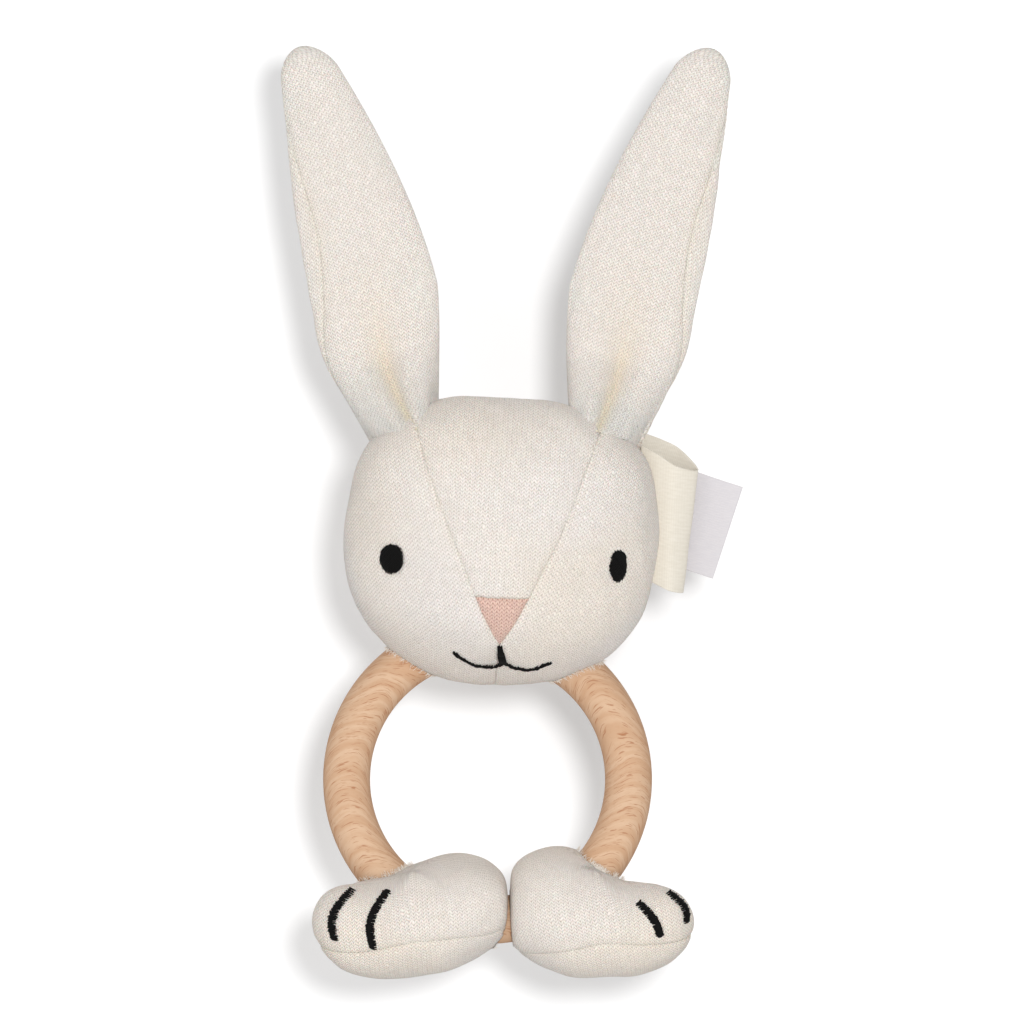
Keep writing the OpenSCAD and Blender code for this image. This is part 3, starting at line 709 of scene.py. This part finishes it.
def ear_base(phi, side):
    """Where an ear is sewn to the head: a closed curve with its front through the pinch."""
    inner, pinch, outer = (np.array(v) for v in EAR_BASE[side])
    t = ((side * np.cos(phi) + 1) / 2)[..., None]
    front = np.sin(phi)
    low = mix(inner, pinch, np.clip(t * 2, 0, 1)) + (outer - pinch) * np.clip(t * 2 - 1, 0, 1)
    chord = mix(inner, outer, t)
    deep = np.clip(np.abs(front), 0, 1) ** 0.6
    place = mix(chord, low, np.where(front > 0, deep, 0)[..., None])
    d = face_dir(side * place[..., 0], place[..., 1])
    y = np.where(front > 0, mix(-0.10, d[..., 1], deep), mix(-0.10, 0.16, deep))
    return head_place(unit(xyz(d[..., 0], y, d[..., 2])), np.full(d.shape[:-1], -0.3))


def ear_place(s, phi, side, swell=1.0):
    """A place on the ear's skin: phi runs round its section, 0 at +X, with the front up to pi."""
    s, phi = np.broadcast_arrays(s, phi)
    q = np.cos(phi)
    front = np.sin(phi)
    from_tip = (1 - s) * EAR_LEN[side]
    close = np.sqrt(np.clip(1 - np.clip(1 - from_tip / EAR_TIP_R, 0, 1) ** 2, 0, 1))
    puff = 2.9 * (0.62 + 0.38 * np.sin(pi * np.clip(0.10 + 0.86 * s, 0, 1))) * close
    puff = puff * swell * np.sign(front) * np.abs(front) ** 1.1
    x = q * ear_half(s, side) * (0.86 + 0.14 * swell) - side * ear_bow(s)
    forward = ear_forward(s, q) * np.where(front > 0, 1.0, 0.55)
    along = ROOT_R + 0.2 + s * (EAR_LEN[side] - ROOT_R)
    p = xyz(x, -forward - puff, along)
    flat = turn_y(p, side * EAR_LEAN[side]) + EAR_ROOT[side]
    landing = ease(s / 0.13)[..., None]
    bulge = (np.sin(pi * np.clip(s / 0.13, 0, 1)) * np.clip(front, 0, 1) ** 0.6 * 1.1)[..., None]
    return mix(ear_base(phi, side), flat, landing) - bulge * np.array([0, 1.0, 0.25])


def rim_roll(s):
    """How far round from the outer edge the seam has rolled on to the front, as an angle."""
    return radians(46) * np.sin(pi * np.clip((s - 0.10) / 0.78, 0, 1)) ** 0.9


def ear_skin(side, front):
    label = label_of(side)
    rows, cols = 200, 84
    s = 0.9996 * np.sin(pi / 2 * np.linspace(0, 1, rows) ** 0.9)[:, None]
    outer_edge, inner_edge = (pi, 0.0) if side < 0 else (0.0, pi)
    seam_out = outer_edge + side * rim_roll(s)
    far_edge = inner_edge if front else inner_edge - side * 2 * pi
    phi = mix(far_edge, seam_out, crowd_ends(cols)[None, :])
    s = np.broadcast_to(s, phi.shape)
    p = ear_place(s, phi, side)
    run, foot = lengths(p, 1), lengths(p, 0)
    at_seam = run[:, -1:] - run
    normal = grid_normals(p)
    across = ear_place(0.4, -pi / 2 if front else pi / 2, side)
    centre = rows // 2, cols // 2
    if (normal[centre] * (p[centre] - across)).sum() < 0:
        normal = -normal
    settle = ease(run / 1.5) * ease((1 - s) * 12)
    relief = -0.38 * np.exp(-at_seam / 0.7) * ease((1 - s) * 8)
    relief += (0.17 * lumps(p, 9.0, 11 + side) + 0.06 * lumps(p, 3.5, 17)) * settle
    relief += 0.09 * np.sin(p @ np.array([1.2, 2.1, 4.1])) * np.exp(-at_seam / 1.5) * settle
    gather = np.sin(np.cos(phi) * 13 + 0.6 * side) * np.exp(-foot / 4.5) * 0.30
    relief += (gather - 0.3 * np.exp(-foot / 0.9)) * settle
    relief = relief * mix(1, ease(at_seam / 1.2), 1 - ease(s / 0.16))
    local = turn_y(p - EAR_ROOT[side], -side * EAR_LEAN[side])
    # Painted shade: the tint darkens and warms the hollow and the crease at the base of the front, and
    # the fabric along the seam.
    hollow = np.exp(-(np.cos(phi) / (0.14 + 1.1 * s)) ** 2) * np.clip(1 - s / 0.45, 0, 1) * front
    crease = np.exp(-(np.cos(phi) / (0.06 + 0.45 * s)) ** 2) * np.exp(-(s / 0.15) ** 2) * front
    tint = np.clip(0.34 * hollow + 0.62 * crease + 0.24 * np.exp(-at_seam / 1.1) + 0.10, 0, 1)
    name = label + ("_ear_front" if front else "_ear_back")
    obj = shell(name + "_knit", p + normal * relief[..., None], ear_place(s, phi, side, 0.74),
                {"wale": run / WALE, "course": local[..., 2] / COURSE, "warmth_and_shade": tint}, across)
    stands = (name, label + "_ear_root") if front else (name,)
    dress(obj, cream_knit, *stands)
    bend_ear(obj)


def bend_ear(obj):
    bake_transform(obj)


def ear_filling(side):
    label = label_of(side)
    rows, cols = 60, 48
    s = np.linspace(0.05, 0.93, rows)[:, None]
    phi = full_turn(cols)[None, :]
    s, phi = np.broadcast_arrays(s, phi)
    p = ear_place(s, phi, side, swell=0.42)
    p = p + 0.06 * lumps(p, 3.0, 23)[..., None]
    faces = grid_faces(rows, cols, True)
    flat = p.reshape(-1, 3)
    ends = [flat[:cols].mean(0), flat[-cols:].mean(0)]
    verts = np.concatenate([flat, ends])
    caps = [[rows * cols, j, (j + 1) % cols] for j in range(cols)]
    last = (rows - 1) * cols
    caps += [[rows * cols + 1, last + (j + 1) % cols, last + j] for j in range(cols)]
    obj = piece_from(label + "_ear_filling", verts, faces.tolist() + caps)
    dress(obj, fibre, label + "_ear_padding")
    bend_ear(obj)


# --- feet ---

FOOT_MID = np.array([20, -4, -29.6])
FEET_MEET_X = 4.6
FEET_GAP = 0.2
# Balls that a foot's outline is rolled over: across from the meeting plane, back, up and radius.
LOBES = {
    -1: [(10.8, 0, -26.9, 11.2), (8.8, -5, -27, 9), (15.8, -2.6, -29.0, 11.7), (22.2, -3, -31.1, 11),
         (27, -5, -31.5, 10.4), (30.7, -7, -31.3, 9.2), (33.9, -8, -29.6, 7.1)],
    1: [(10.0, 0, -27.1, 12.7), (15, -3, -30, 11.6), (20, -3, -31.4, 10.3), (25.4, -5, -31.5, 9.8),
        (29.6, -7, -31, 8.7), (31.7, -8, -29.8, 6.5)],
}
SOLE_PITCH = {-1: radians(20), 1: radians(14)}
SOLE_DROP = {-1: radians(-6), 1: radians(-14)}
SOLE_ROLL = {-1: radians(-4), 1: radians(9)}


def foot_reach(d, side):
    far = []
    for x, y, z, r in LOBES[side]:
        place = np.array([x, y, z]) - FOOT_MID
        b = d @ place
        e = b * b - place @ place + r * r
        far.append(np.where(e > 0, np.maximum(0, b + np.sqrt(np.maximum(e, 0))), 0))
    far = np.array(far)
    top = far.max(0)
    blend = top * ((far / top) ** 14).sum(0) ** (1 / 14)
    meet = np.where(d[..., 0] < -0.02, (FOOT_MID[0] - 0.03) / np.maximum(-d[..., 0], 1e-3), 1000)
    low, high = np.minimum(blend, meet), np.maximum(blend, meet)
    return low * (1 + (low / high) ** 28) ** (-1 / 28)


def foot_dir(a, e, side):
    c, r = SOLE_PITCH[side], SOLE_ROLL[side]
    x, y, z = np.cos(e) * np.cos(a), np.cos(e) * np.sin(a), np.sin(e)
    y, z = y * math.cos(c) - z * math.sin(c), y * math.sin(c) + z * math.cos(c)
    return xyz(x * math.cos(r) - z * math.sin(r), y, x * math.sin(r) + z * math.cos(r))


def foot_place(d, side, rise=0.0):
    p = FOOT_MID + (foot_reach(d, side) + rise)[..., None] * d
    return on_foot(p, side)


def on_foot(p, side):
    return p * np.array([side, 1, 1]) + np.array([FEET_MEET_X + side * FEET_GAP / 2, 0, 0])


def foot_front(x, z, side):
    """Direction of the front of the foot at a place across and up, by halving."""
    x, z = np.broadcast_arrays(np.asarray(x, float), np.asarray(z, float))
    inside, before = np.full(x.shape, -4.0), np.full(x.shape, -30.0)
    for _ in range(18):
        mid = (inside + before) / 2
        v = xyz(x, mid, z) - FOOT_MID
        n = np.linalg.norm(v, axis=-1)
        within = n < foot_reach(v / n[..., None], side)
        inside, before = np.where(within, mid, inside), np.where(within, before, mid)
    return unit(xyz(x, (inside + before) / 2, z) - FOOT_MID)


def foot_skin(side, upper):
    label = label_of(side)
    turns, rings = 216, 66 if upper else 52
    pole = pi / 2 if upper else -pi / 2
    t = np.linspace(0, 1, rings)
    t = t + 0.32 * (t - t * t)
    e = mix(pole * 0.9995, SOLE_DROP[side], t)[:, None]
    a = (full_turn(turns) + pi / 2)[None, :]
    e, a = np.broadcast_arrays(e, a)
    d = foot_dir(a, e, side)
    p = FOOT_MID + foot_reach(d, side)[..., None] * d
    run, drop = lengths(p, 1), lengths(p, 0)
    front = turns // 2
    to_seam = drop[-1:] - drop
    relief = 0.32 * (1 - np.exp(-to_seam / 3.5)) - 0.30 * np.exp(-to_seam / 0.7) - 0.15
    relief += 0.10 * np.sin(p @ np.array([3.1, 2.2, 1.0])) * np.exp(-to_seam / 1.6)
    relief += 0.22 * lumps(p, 9.0, 31 + side) + 0.08 * lumps(p, 3.5, 37)
    relief = relief * (1 - np.exp(-np.abs(p[..., 0]) / 1.5))
    wale = (run - run[:, front:front + 1]) / WALE
    course = -to_seam / COURSE if upper else to_seam / COURSE
    # Painted shade: the knit is tinted darker and warmer along the sole seam; the lumps give warmer
    # patches at random.
    tint = 0.12 + 0.12 * np.exp(-to_seam / 0.9) + 0.2 * ease(0.5 + 0.6 * lumps(p, 14.0, 41))
    name = label + ("_foot_upper" if upper else "_foot_sole")
    reach = foot_reach(d, side) + relief
    outer, inner = (on_foot(FOOT_MID + r[..., None] * d, side) for r in (reach, reach - SKIN_T))
    obj = shell(name + "_knit", outer, inner, {"wale": wale, "course": course, "warmth_and_shade": tint},
                on_foot(FOOT_MID, side), wrap=True, hole=FOOT_HOLE)
    dress(obj, cream_knit, name)
    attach(obj, label + "_foot")


# --- the knit that grips the ring ---


# Where the knit wraps the bar, in degrees: each way from the middle of the head, and in each foot.
NECK_REACH = 25
ANKLE_SPAN = {"left": (183, 216), "right": (133, 166)}


def collar(name, node, body, start, end):
    """A gathered tube of knit round the bar, between two angles in degrees."""
    rows, turns = 70, 96
    theta = np.radians(np.linspace(start, end, rows))[:, None]
    phi = full_turn(turns)[None, :]
    theta, phi = np.broadcast_arrays(theta, phi)
    t = np.linspace(0, 1, rows)[:, None]
    mouth = np.exp(-np.minimum(t, 1 - t) * RING_R * abs(radians(end - start)) / 1.8)
    gathers = 0.16 * (1 + np.sin(phi * 17 + 2 * np.sin(theta * 9)))
    r = TUBE_R + 0.95 + gathers * (0.4 + 0.6 * mouth)
    rho = RING_R + r * np.cos(phi)
    p = xyz(rho * np.sin(theta), r * np.sin(phi), rho * np.cos(theta))
    centre = xyz(RING_R * np.sin(theta), 0 * theta, RING_R * np.cos(theta))
    inner = centre + (p - centre) / r[..., None] * (TUBE_R + 0.12)
    attributes = {"wale": phi * TUBE_R / WALE, "course": theta * RING_R / COURSE,
                  "warmth_and_shade": np.full(p.shape[:2], 0.5)}
    obj = shell(name, p, inner, attributes, np.zeros(3), wrap=True)
    dress(obj, cream_knit, node)
    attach(obj, body)


# --- embroidery ---


def satin_fill(x0, z0, half_w, half_h, angle, spacing, radius, seed):
    """Parallel threads across an oval on the head, their ends slightly uneven."""
    rng = np.random.default_rng(seed)
    ca, sa = math.cos(angle), math.sin(angle)
    threads = []
    reach = math.hypot(half_w * sa, half_h * ca)
    for off in np.arange(-reach + spacing * 0.4, reach, spacing):
        k = off / reach
        # The chord of the oval at this offset along the thread's own direction.
        a = (ca / half_w) ** 2 + (sa / half_h) ** 2
        cx, cz = -sa * off, ca * off
        b = cx * ca / half_w ** 2 + cz * sa / half_h ** 2
        c = (cx / half_w) ** 2 + (cz / half_h) ** 2 - 1
        disc = b * b - a * c
        if disc <= 0:
            continue
        t0, t1 = (-b - math.sqrt(disc)) / a, (-b + math.sqrt(disc)) / a
        t0 -= rng.uniform(-0.12, 0.22)
        t1 += rng.uniform(-0.12, 0.22)
        t = np.linspace(t0, t1, 12)
        bow = np.sqrt(np.clip(1 - np.linspace(-1, 1, 12) ** 2, 0, 1))
        d = face_dir(x0 + cx + ca * t, z0 + cz + sa * t)
        rise = 0.05 + 0.45 * bow * (1 - 0.5 * k * k) + rng.uniform(0, 0.08)
        threads.append((head_place(d, rise), turn_y(d, SLIP), radius * rng.uniform(0.9, 1.12)))
    return threads


# Place across and up from the middle of the head, half width and height, slant of the threads, seed.
EYES = {"left_eye": (-22.6, -4.2, 2.5, 3.05, 0.9, 81), "right_eye": (24.7, -2.95, 1.75, 3.35, 2.1, 91)}


def build_eye(name, x, z, half_w, half_h, angle, seed):
    """A layer of threads and, on top of it, a second one that lies across it."""
    under = satin_fill(x, z, half_w * 0.93, half_h * 0.93, angle + 1.35, 0.30, 0.24, seed)
    over = satin_fill(x, z, half_w, half_h, angle, 0.27, 0.19, seed + 1)
    over = [(curve + out * 0.16, out, r) for curve, out, r in over]
    obj = strands(name, under + over)
    dress(obj, black_thread, name + "_embroidery")
    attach(obj, "head")


def through(points, t):
    """A smooth curve through a few points, at shares t along it."""
    points = np.array(points, float)
    n = len(points) - 1
    ends = np.concatenate([[2 * points[0] - points[1]], points, [2 * points[-1] - points[-2]]])
    k = np.clip((t * n).astype(int), 0, n - 1)
    f = (t * n - k)[..., None]
    a, b, c, d = (ends[k + i] for i in range(4))
    square = (2 * a - 5 * b + 4 * c - d) * f ** 2
    cube = (3 * b - a - 3 * c + d) * f ** 3
    return 0.5 * (2 * b + (c - a) * f + square + cube)


# Places across and up from the middle of the head.
MOUTH_LEFT = [(1.9, -23.9), (-0.8, -25.1), (-4.9, -24.5), (-8.5, -22.4)]
MOUTH_RIGHT = [(1.9, -23.9), (5.4, -25.3), (8.5, -25.1), (11.8, -23.5)]
PHILTRUM = [(0.9, -20.0), (1.3, -22.1), (2.0, -24.4)]


def build_mouth():
    rng = np.random.default_rng(5)
    threads = []

    def stitch(a, b, radius, lift):
        t = np.linspace(0, 1, 8)[:, None]
        places = mix(np.array(a), np.array(b), t)
        d = face_dir(places[:, 0], places[:, 1])
        rise = 0.02 + lift * np.sin(pi * t[:, 0]) ** 0.7
        threads.append((head_place(d, rise), turn_y(d, SLIP), radius))

    for path in (MOUTH_LEFT, MOUTH_RIGHT):
        steps = 17
        for k in range(steps):
            a = through(path, np.array([k / (steps + 1)]))[0]
            b = through(path, np.array([min(1, (k + 2.1) / (steps + 1))]))[0]
            normal = unit(np.array([a[1] - b[1], b[0] - a[0]]))
            thick = 1.25 if k > steps - 4 else 1.0
            for shift in (-0.16, 0.14):
                wander = rng.normal(0, 0.13, 2)
                stitch(a + normal * (shift + wander[0]), b + normal * (-shift * 0.8 + wander[1]),
                       0.20 * thick * rng.uniform(0.9, 1.15), 0.34)
    for shift in np.linspace(-0.52, 0.52, 6):
        for half in ((0, 0.62), (0.38, 1)):
            a, b = through(PHILTRUM, np.array(half))
            squeeze = 0.75 if half[0] == 0 else 1.15
            stitch(a + np.array([shift * squeeze, rng.normal(0, 0.12)]),
                   b + np.array([shift * (squeeze + 0.1), rng.normal(0, 0.12)]), 0.21, 0.42)
    obj = strands("mouth_stitches", threads)
    dress(obj, black_thread, "mouth_embroidery")
    nod(obj)


# Each toe line's top and foot, as places across and up, with its bow and its width.
TOE_BARS = {
    -1: [((25.4, -23.3), (28.4, -35.1), 2.0, 1.45), ((32.7, -22.9), (36.5, -33.3), 2.2, 1.30)],
    1: [((27.0, -25.6), (31.6, -32.6), 0.9, 1.45), ((33.2, -23.5), (37.1, -29.8), 1.5, 1.00)],
}


def build_toes(side):
    label = label_of(side)
    rng = np.random.default_rng(60 + side)
    threads = []
    for top, foot, bulge, width in TOE_BARS[side]:
        top, foot = np.array(top), np.array(foot)
        length = np.linalg.norm(foot - top)
        line = unit(foot - top)
        across = np.array([-line[1], line[0]])
        count = int(length / 0.17)
        for k in range(count):
            t = (k + 0.5) / count
            centre = mix(top, foot, t) + np.array([bulge * math.sin(pi * t), 0])
            half = width / 2 * (0.94 + 0.12 * math.sin(pi * t)) + rng.normal(0.03, 0.11)
            reach = across * half + line * rng.normal(0.18 if k % 2 else -0.10, 0.10)
            shares = np.linspace(-1, 1, 8)[:, None]
            places = centre + reach * shares
            d = foot_front(places[:, 0], places[:, 1], side)
            rise = 0.12 + 0.55 * np.sqrt(np.clip(1 - shares[:, 0] ** 2, 0, 1)) + rng.uniform(0, 0.12)
            out = d * np.array([side, 1, 1])
            threads.append((foot_place(d, side, rise), out, 0.19 * rng.uniform(0.85, 1.2)))
    obj = strands(label + "_toe_stitches", threads)
    dress(obj, black_thread, label + "_toe_embroidery")
    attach(obj, label + "_foot")


# --- labels ---


# Points on the upper and the lower edge of each tape, starting at the side seam.
COTTON_TOP = [(32.6, -2.0, 71.2), (36.5, -3.4, 69.0), (40.2, -3.7, 66.6), (44.7, -0.2, 65.9),
              (41.0, 2.7, 70.3), (37.0, 3.0, 72.4), (32.4, 1.6, 74.0)]
COTTON_FOOT = [(33.2, -1.8, 43.0), (36.4, -3.0, 41.2), (39.0, -3.0, 40.0), (41.5, -0.2, 39.8),
               (39.6, 2.4, 41.4), (36.6, 2.6, 42.6), (33.2, 1.4, 43.6)]
SATIN_TOP = [(33.0, 3.4, 69.0), (41.0, 4.3, 66.7), (48.0, 4.0, 64.3), (54.4, 3.2, 62.2)]
SATIN_FOOT = [(33.0, 3.2, 47.8), (38.0, 3.9, 46.2), (43.5, 3.8, 44.2), (48.0, 3.2, 42.7)]


def ribbon(name, top, foot, thickness, node, material, rows=90, cols=60):
    """A tape ruled between two curves that start at the side seam."""
    t = np.linspace(0, 1, cols)
    up, low = through(top, t), through(foot, t)
    s = np.linspace(0, 1, rows)[:, None, None]
    p = mix(low[None], up[None], s)
    ripple = 0.10 * lumps(p, 6.0, 71) * np.sin(pi * s[..., 0])
    p = p + grid_normals(p) * ripple[..., None]
    run, rise = lengths(p, 1), lengths(p, 0)
    obj = piece_from(name, p.reshape(-1, 3), grid_faces(rows, cols),
                     {"wale": run.ravel(), "course": rise.ravel()})
    m = obj.modifiers.new("thickness", "SOLIDIFY")
    m.thickness = thickness * MM
    m.offset = 0
    apply_modifiers(obj)
    dress(obj, material, node)
    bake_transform(obj)


def build_labels():
    ribbon("cotton_label_loop", COTTON_TOP, COTTON_FOOT, 0.38, "cotton_label", cotton_tape)
    ribbon("satin_care_label", SATIN_TOP, SATIN_FOOT, 0.18, "satin_label", satin_tape)


# --- loose fibres where the knit meets the wood ---


# The body that each part's fibres ride on, and how many there are.
FUZZ = {"head": ("neck", 620), "left_foot": ("left_ankle", 360), "right_foot": ("right_ankle", 360)}
# The feet have no fibres this near to the plane where they meet, in mm.
BARE_MEETING = 3


def build_fuzz():
    """Short stray fibres that creep from each opening in the knit out along the bar."""
    rng = np.random.default_rng(17)
    bodies = {}
    for name, lip in LIPS:
        body = next((part for part in FUZZ if name.startswith(part)), "head")
        if len(lip):
            bodies.setdefault(body, []).append(lip)
    for body, lips in bodies.items():
        sleeve, count = FUZZ[body]
        lip = np.concatenate(lips)
        lip = lip[np.abs(lip[:, 0] - FEET_MEET_X) > (0 if body == "head" else BARE_MEETING)]
        middle = HEAD_MID if body == "head" else on_foot(FOOT_MID, -1 if body == "left_foot" else 1)
        threads = []
        for start in lip[rng.integers(0, len(lip), count)]:
            rho = math.hypot(start[0], start[2])
            centre = np.array([start[0] / rho * RING_R, 0, start[2] / rho * RING_R])
            along = np.array([start[2], 0, -start[0]]) / rho
            along = along if along @ (start - middle) > 0 else -along
            out = unit(start - centre)
            side = np.cross(out, along)
            length = rng.uniform(0.4, 1.5)
            lean = rng.normal(0, 0.7)
            lift = rng.uniform(0.0, 0.3) * (rng.random() < 0.5)
            t = np.linspace(0, 1, 6)[:, None]
            curl = rng.normal(0, 0.25)
            path = start - along * 0.3 - out * 0.12
            path = path + along * t * length + side * (lean * t + curl * np.sin(3 * t)) * length * 0.6
            path = path + out * (0.05 + lift * t ** 1.5 * length - 0.28 * t * (lift == 0))
            threads.append((path, np.repeat(out[None], 6, 0), rng.uniform(0.028, 0.05)))
        obj = strands(body + "_fuzz", threads, 4)
        dress(obj, stray)
        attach(obj, sleeve)


def build_all():
    build_head()
    nod(filling("head", head_place, turn_y(HEAD_MID, SLIP)))
    for side in (-1, 1):
        ear_skin(side, True)
        ear_skin(side, False)
        ear_filling(side)
        foot_skin(side, True)
        foot_skin(side, False)
        build_toes(side)
        foot = label_of(side) + "_foot"
        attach(filling(foot, lambda d, rise: foot_place(d, side, rise), on_foot(FOOT_MID, side)), foot)
    for name, shape in EYES.items():
        build_eye(name, *shape)
    build_mouth()
    build_labels()
    build_fuzz()
    slip = math.degrees(SLIP)
    collar("neck_collar", "neck_sleeve", "neck", slip - NECK_REACH, slip + NECK_REACH)
    for label, (start, end) in ANKLE_SPAN.items():
        collar(label + "_ankle_collar", label + "_foot_sleeve", label + "_ankle", start, end)
    repaint("wooden_ring", beech)
    casing = plastic_material("rattle_plastic", linear(238, 238, 235), 0.45)
    pellet = plastic_material("rattle_pellet", linear(196, 214, 232), 0.25)
    repaint("rattle_capsule_front", casing)
    repaint("rattle_capsule_back", casing)
    repaint("rattle_pellets", pellet)


build_all()

# --- floor, light and camera ---

# The middle of the picture and the camera's distance from it, in metres, and its lens in mm.
CENTRE = Vector((0.0052, 0.0, 0.0569))
CAMERA_AWAY = 2.0
LENS = 330.4
# Half the floor's side, and how far it lies behind the head, in metres.
FLOOR_HALF, FLOOR_BEHIND = 2.5, 0.030
# Brightness of the surroundings as light and as seen by the camera.
AMBIENT, BACKDROP = 0.62, 0.86
# Place and size of each lamp in metres, and its power in watts.
LAMPS = {
    "key": ((0.14, -1.5, 0.15), 0.18, 11.2),
    "fill_left": ((-0.9, -1.2, 0.5), 1.2, 3.2),
    "fill_low": ((0.1, -1.3, -0.8), 1.0, 3.9),
    "behind": ((-0.3, 1.4, 0.6), 0.9, 5),
}


def build_floor():
    """The toy lies over a pale floor and is seen from straight above it, so the floor stands behind it.

    It leaves room for ears that flop back, and can't be seen from behind or edge on."""
    panels = "back_left_panel", "back_right_panel"
    back = max(box_mm(panel)[1][1] for panel in panels) * MM + FLOOR_BEHIND
    mesh = bpy.data.meshes.new("floor")
    corners = [(x * FLOOR_HALF, back, z * FLOOR_HALF) for x, z in ((-1, -1), (1, -1), (1, 1), (-1, 1))]
    mesh.from_pydata(corners, [], [(0, 1, 2, 3)])
    floor = bpy.data.objects.new("floor", mesh)
    bpy.context.scene.collection.objects.link(floor)
    g = Graph("floor_white")
    grain = g.noise(g.place(), 40.0, 3.0)
    g.finish(Base_Color=g.blend(grain, (0.93, 0.93, 0.935), (0.95, 0.95, 0.95)), Roughness=0.95,
             Specular_IOR_Level=0.05)
    clear = g.node("ShaderNodeBsdfTransparent").outputs[0]
    facing = g.node("ShaderNodeNewGeometry").outputs
    steep = g.node("ShaderNodeVectorMath", {"operation": "DOT_PRODUCT"}, i0=facing["Incoming"],
                   i1=facing["Normal"]).outputs["Value"]
    hidden = g.math("MAXIMUM", facing["Backfacing"], g.span(steep, 0.15, 0.35, 1.0, 0.0))
    choose = g.node("ShaderNodeMixShader", None, i0=hidden, i1=g.shader.outputs[0], i2=clear)
    g.put(g.tree.nodes["Material Output"].inputs["Surface"], choose.outputs[0])
    mesh.materials.append(g.material)
    floor.visible_shadow = floor.visible_diffuse = floor.visible_glossy = False


def build_lamp(name, place, size, power):
    data = bpy.data.lights.new(name, "AREA")
    data.shape = "DISK"
    data.size = size
    data.energy = power
    light = bpy.data.objects.new(name, data)
    light.location = place
    light.rotation_mode = "QUATERNION"
    light.rotation_quaternion = (CENTRE - Vector(place)).to_track_quat("-Z", "Y")
    bpy.context.scene.collection.objects.link(light)


build_floor()
for lamp, (place, size, power) in LAMPS.items():
    build_lamp(lamp, place, size, power)

world = bpy.data.worlds.new("studio")
world.use_nodes = True
sky = world.node_tree
backdrop = sky.nodes["Background"]
backdrop.inputs[0].default_value = (1, 1, 1, 1)
seen = sky.nodes.new("ShaderNodeLightPath")
level = sky.nodes.new("ShaderNodeMapRange")
level.inputs[3].default_value = AMBIENT
level.inputs[4].default_value = BACKDROP
sky.links.new(seen.outputs["Is Camera Ray"], level.inputs[0])
sky.links.new(level.outputs[0], backdrop.inputs[1])
bpy.context.scene.world = world
bpy.context.scene.view_settings.view_transform = "Standard"

camera_data = bpy.data.cameras.new("camera")
camera_data.lens = LENS
camera = bpy.data.objects.new("camera", camera_data)
camera.location = CENTRE + Vector((0, -CAMERA_AWAY, 0))
camera.rotation_euler = (pi / 2, 0, 0)
bpy.context.scene.collection.objects.link(camera)
bpy.context.scene.camera = camera
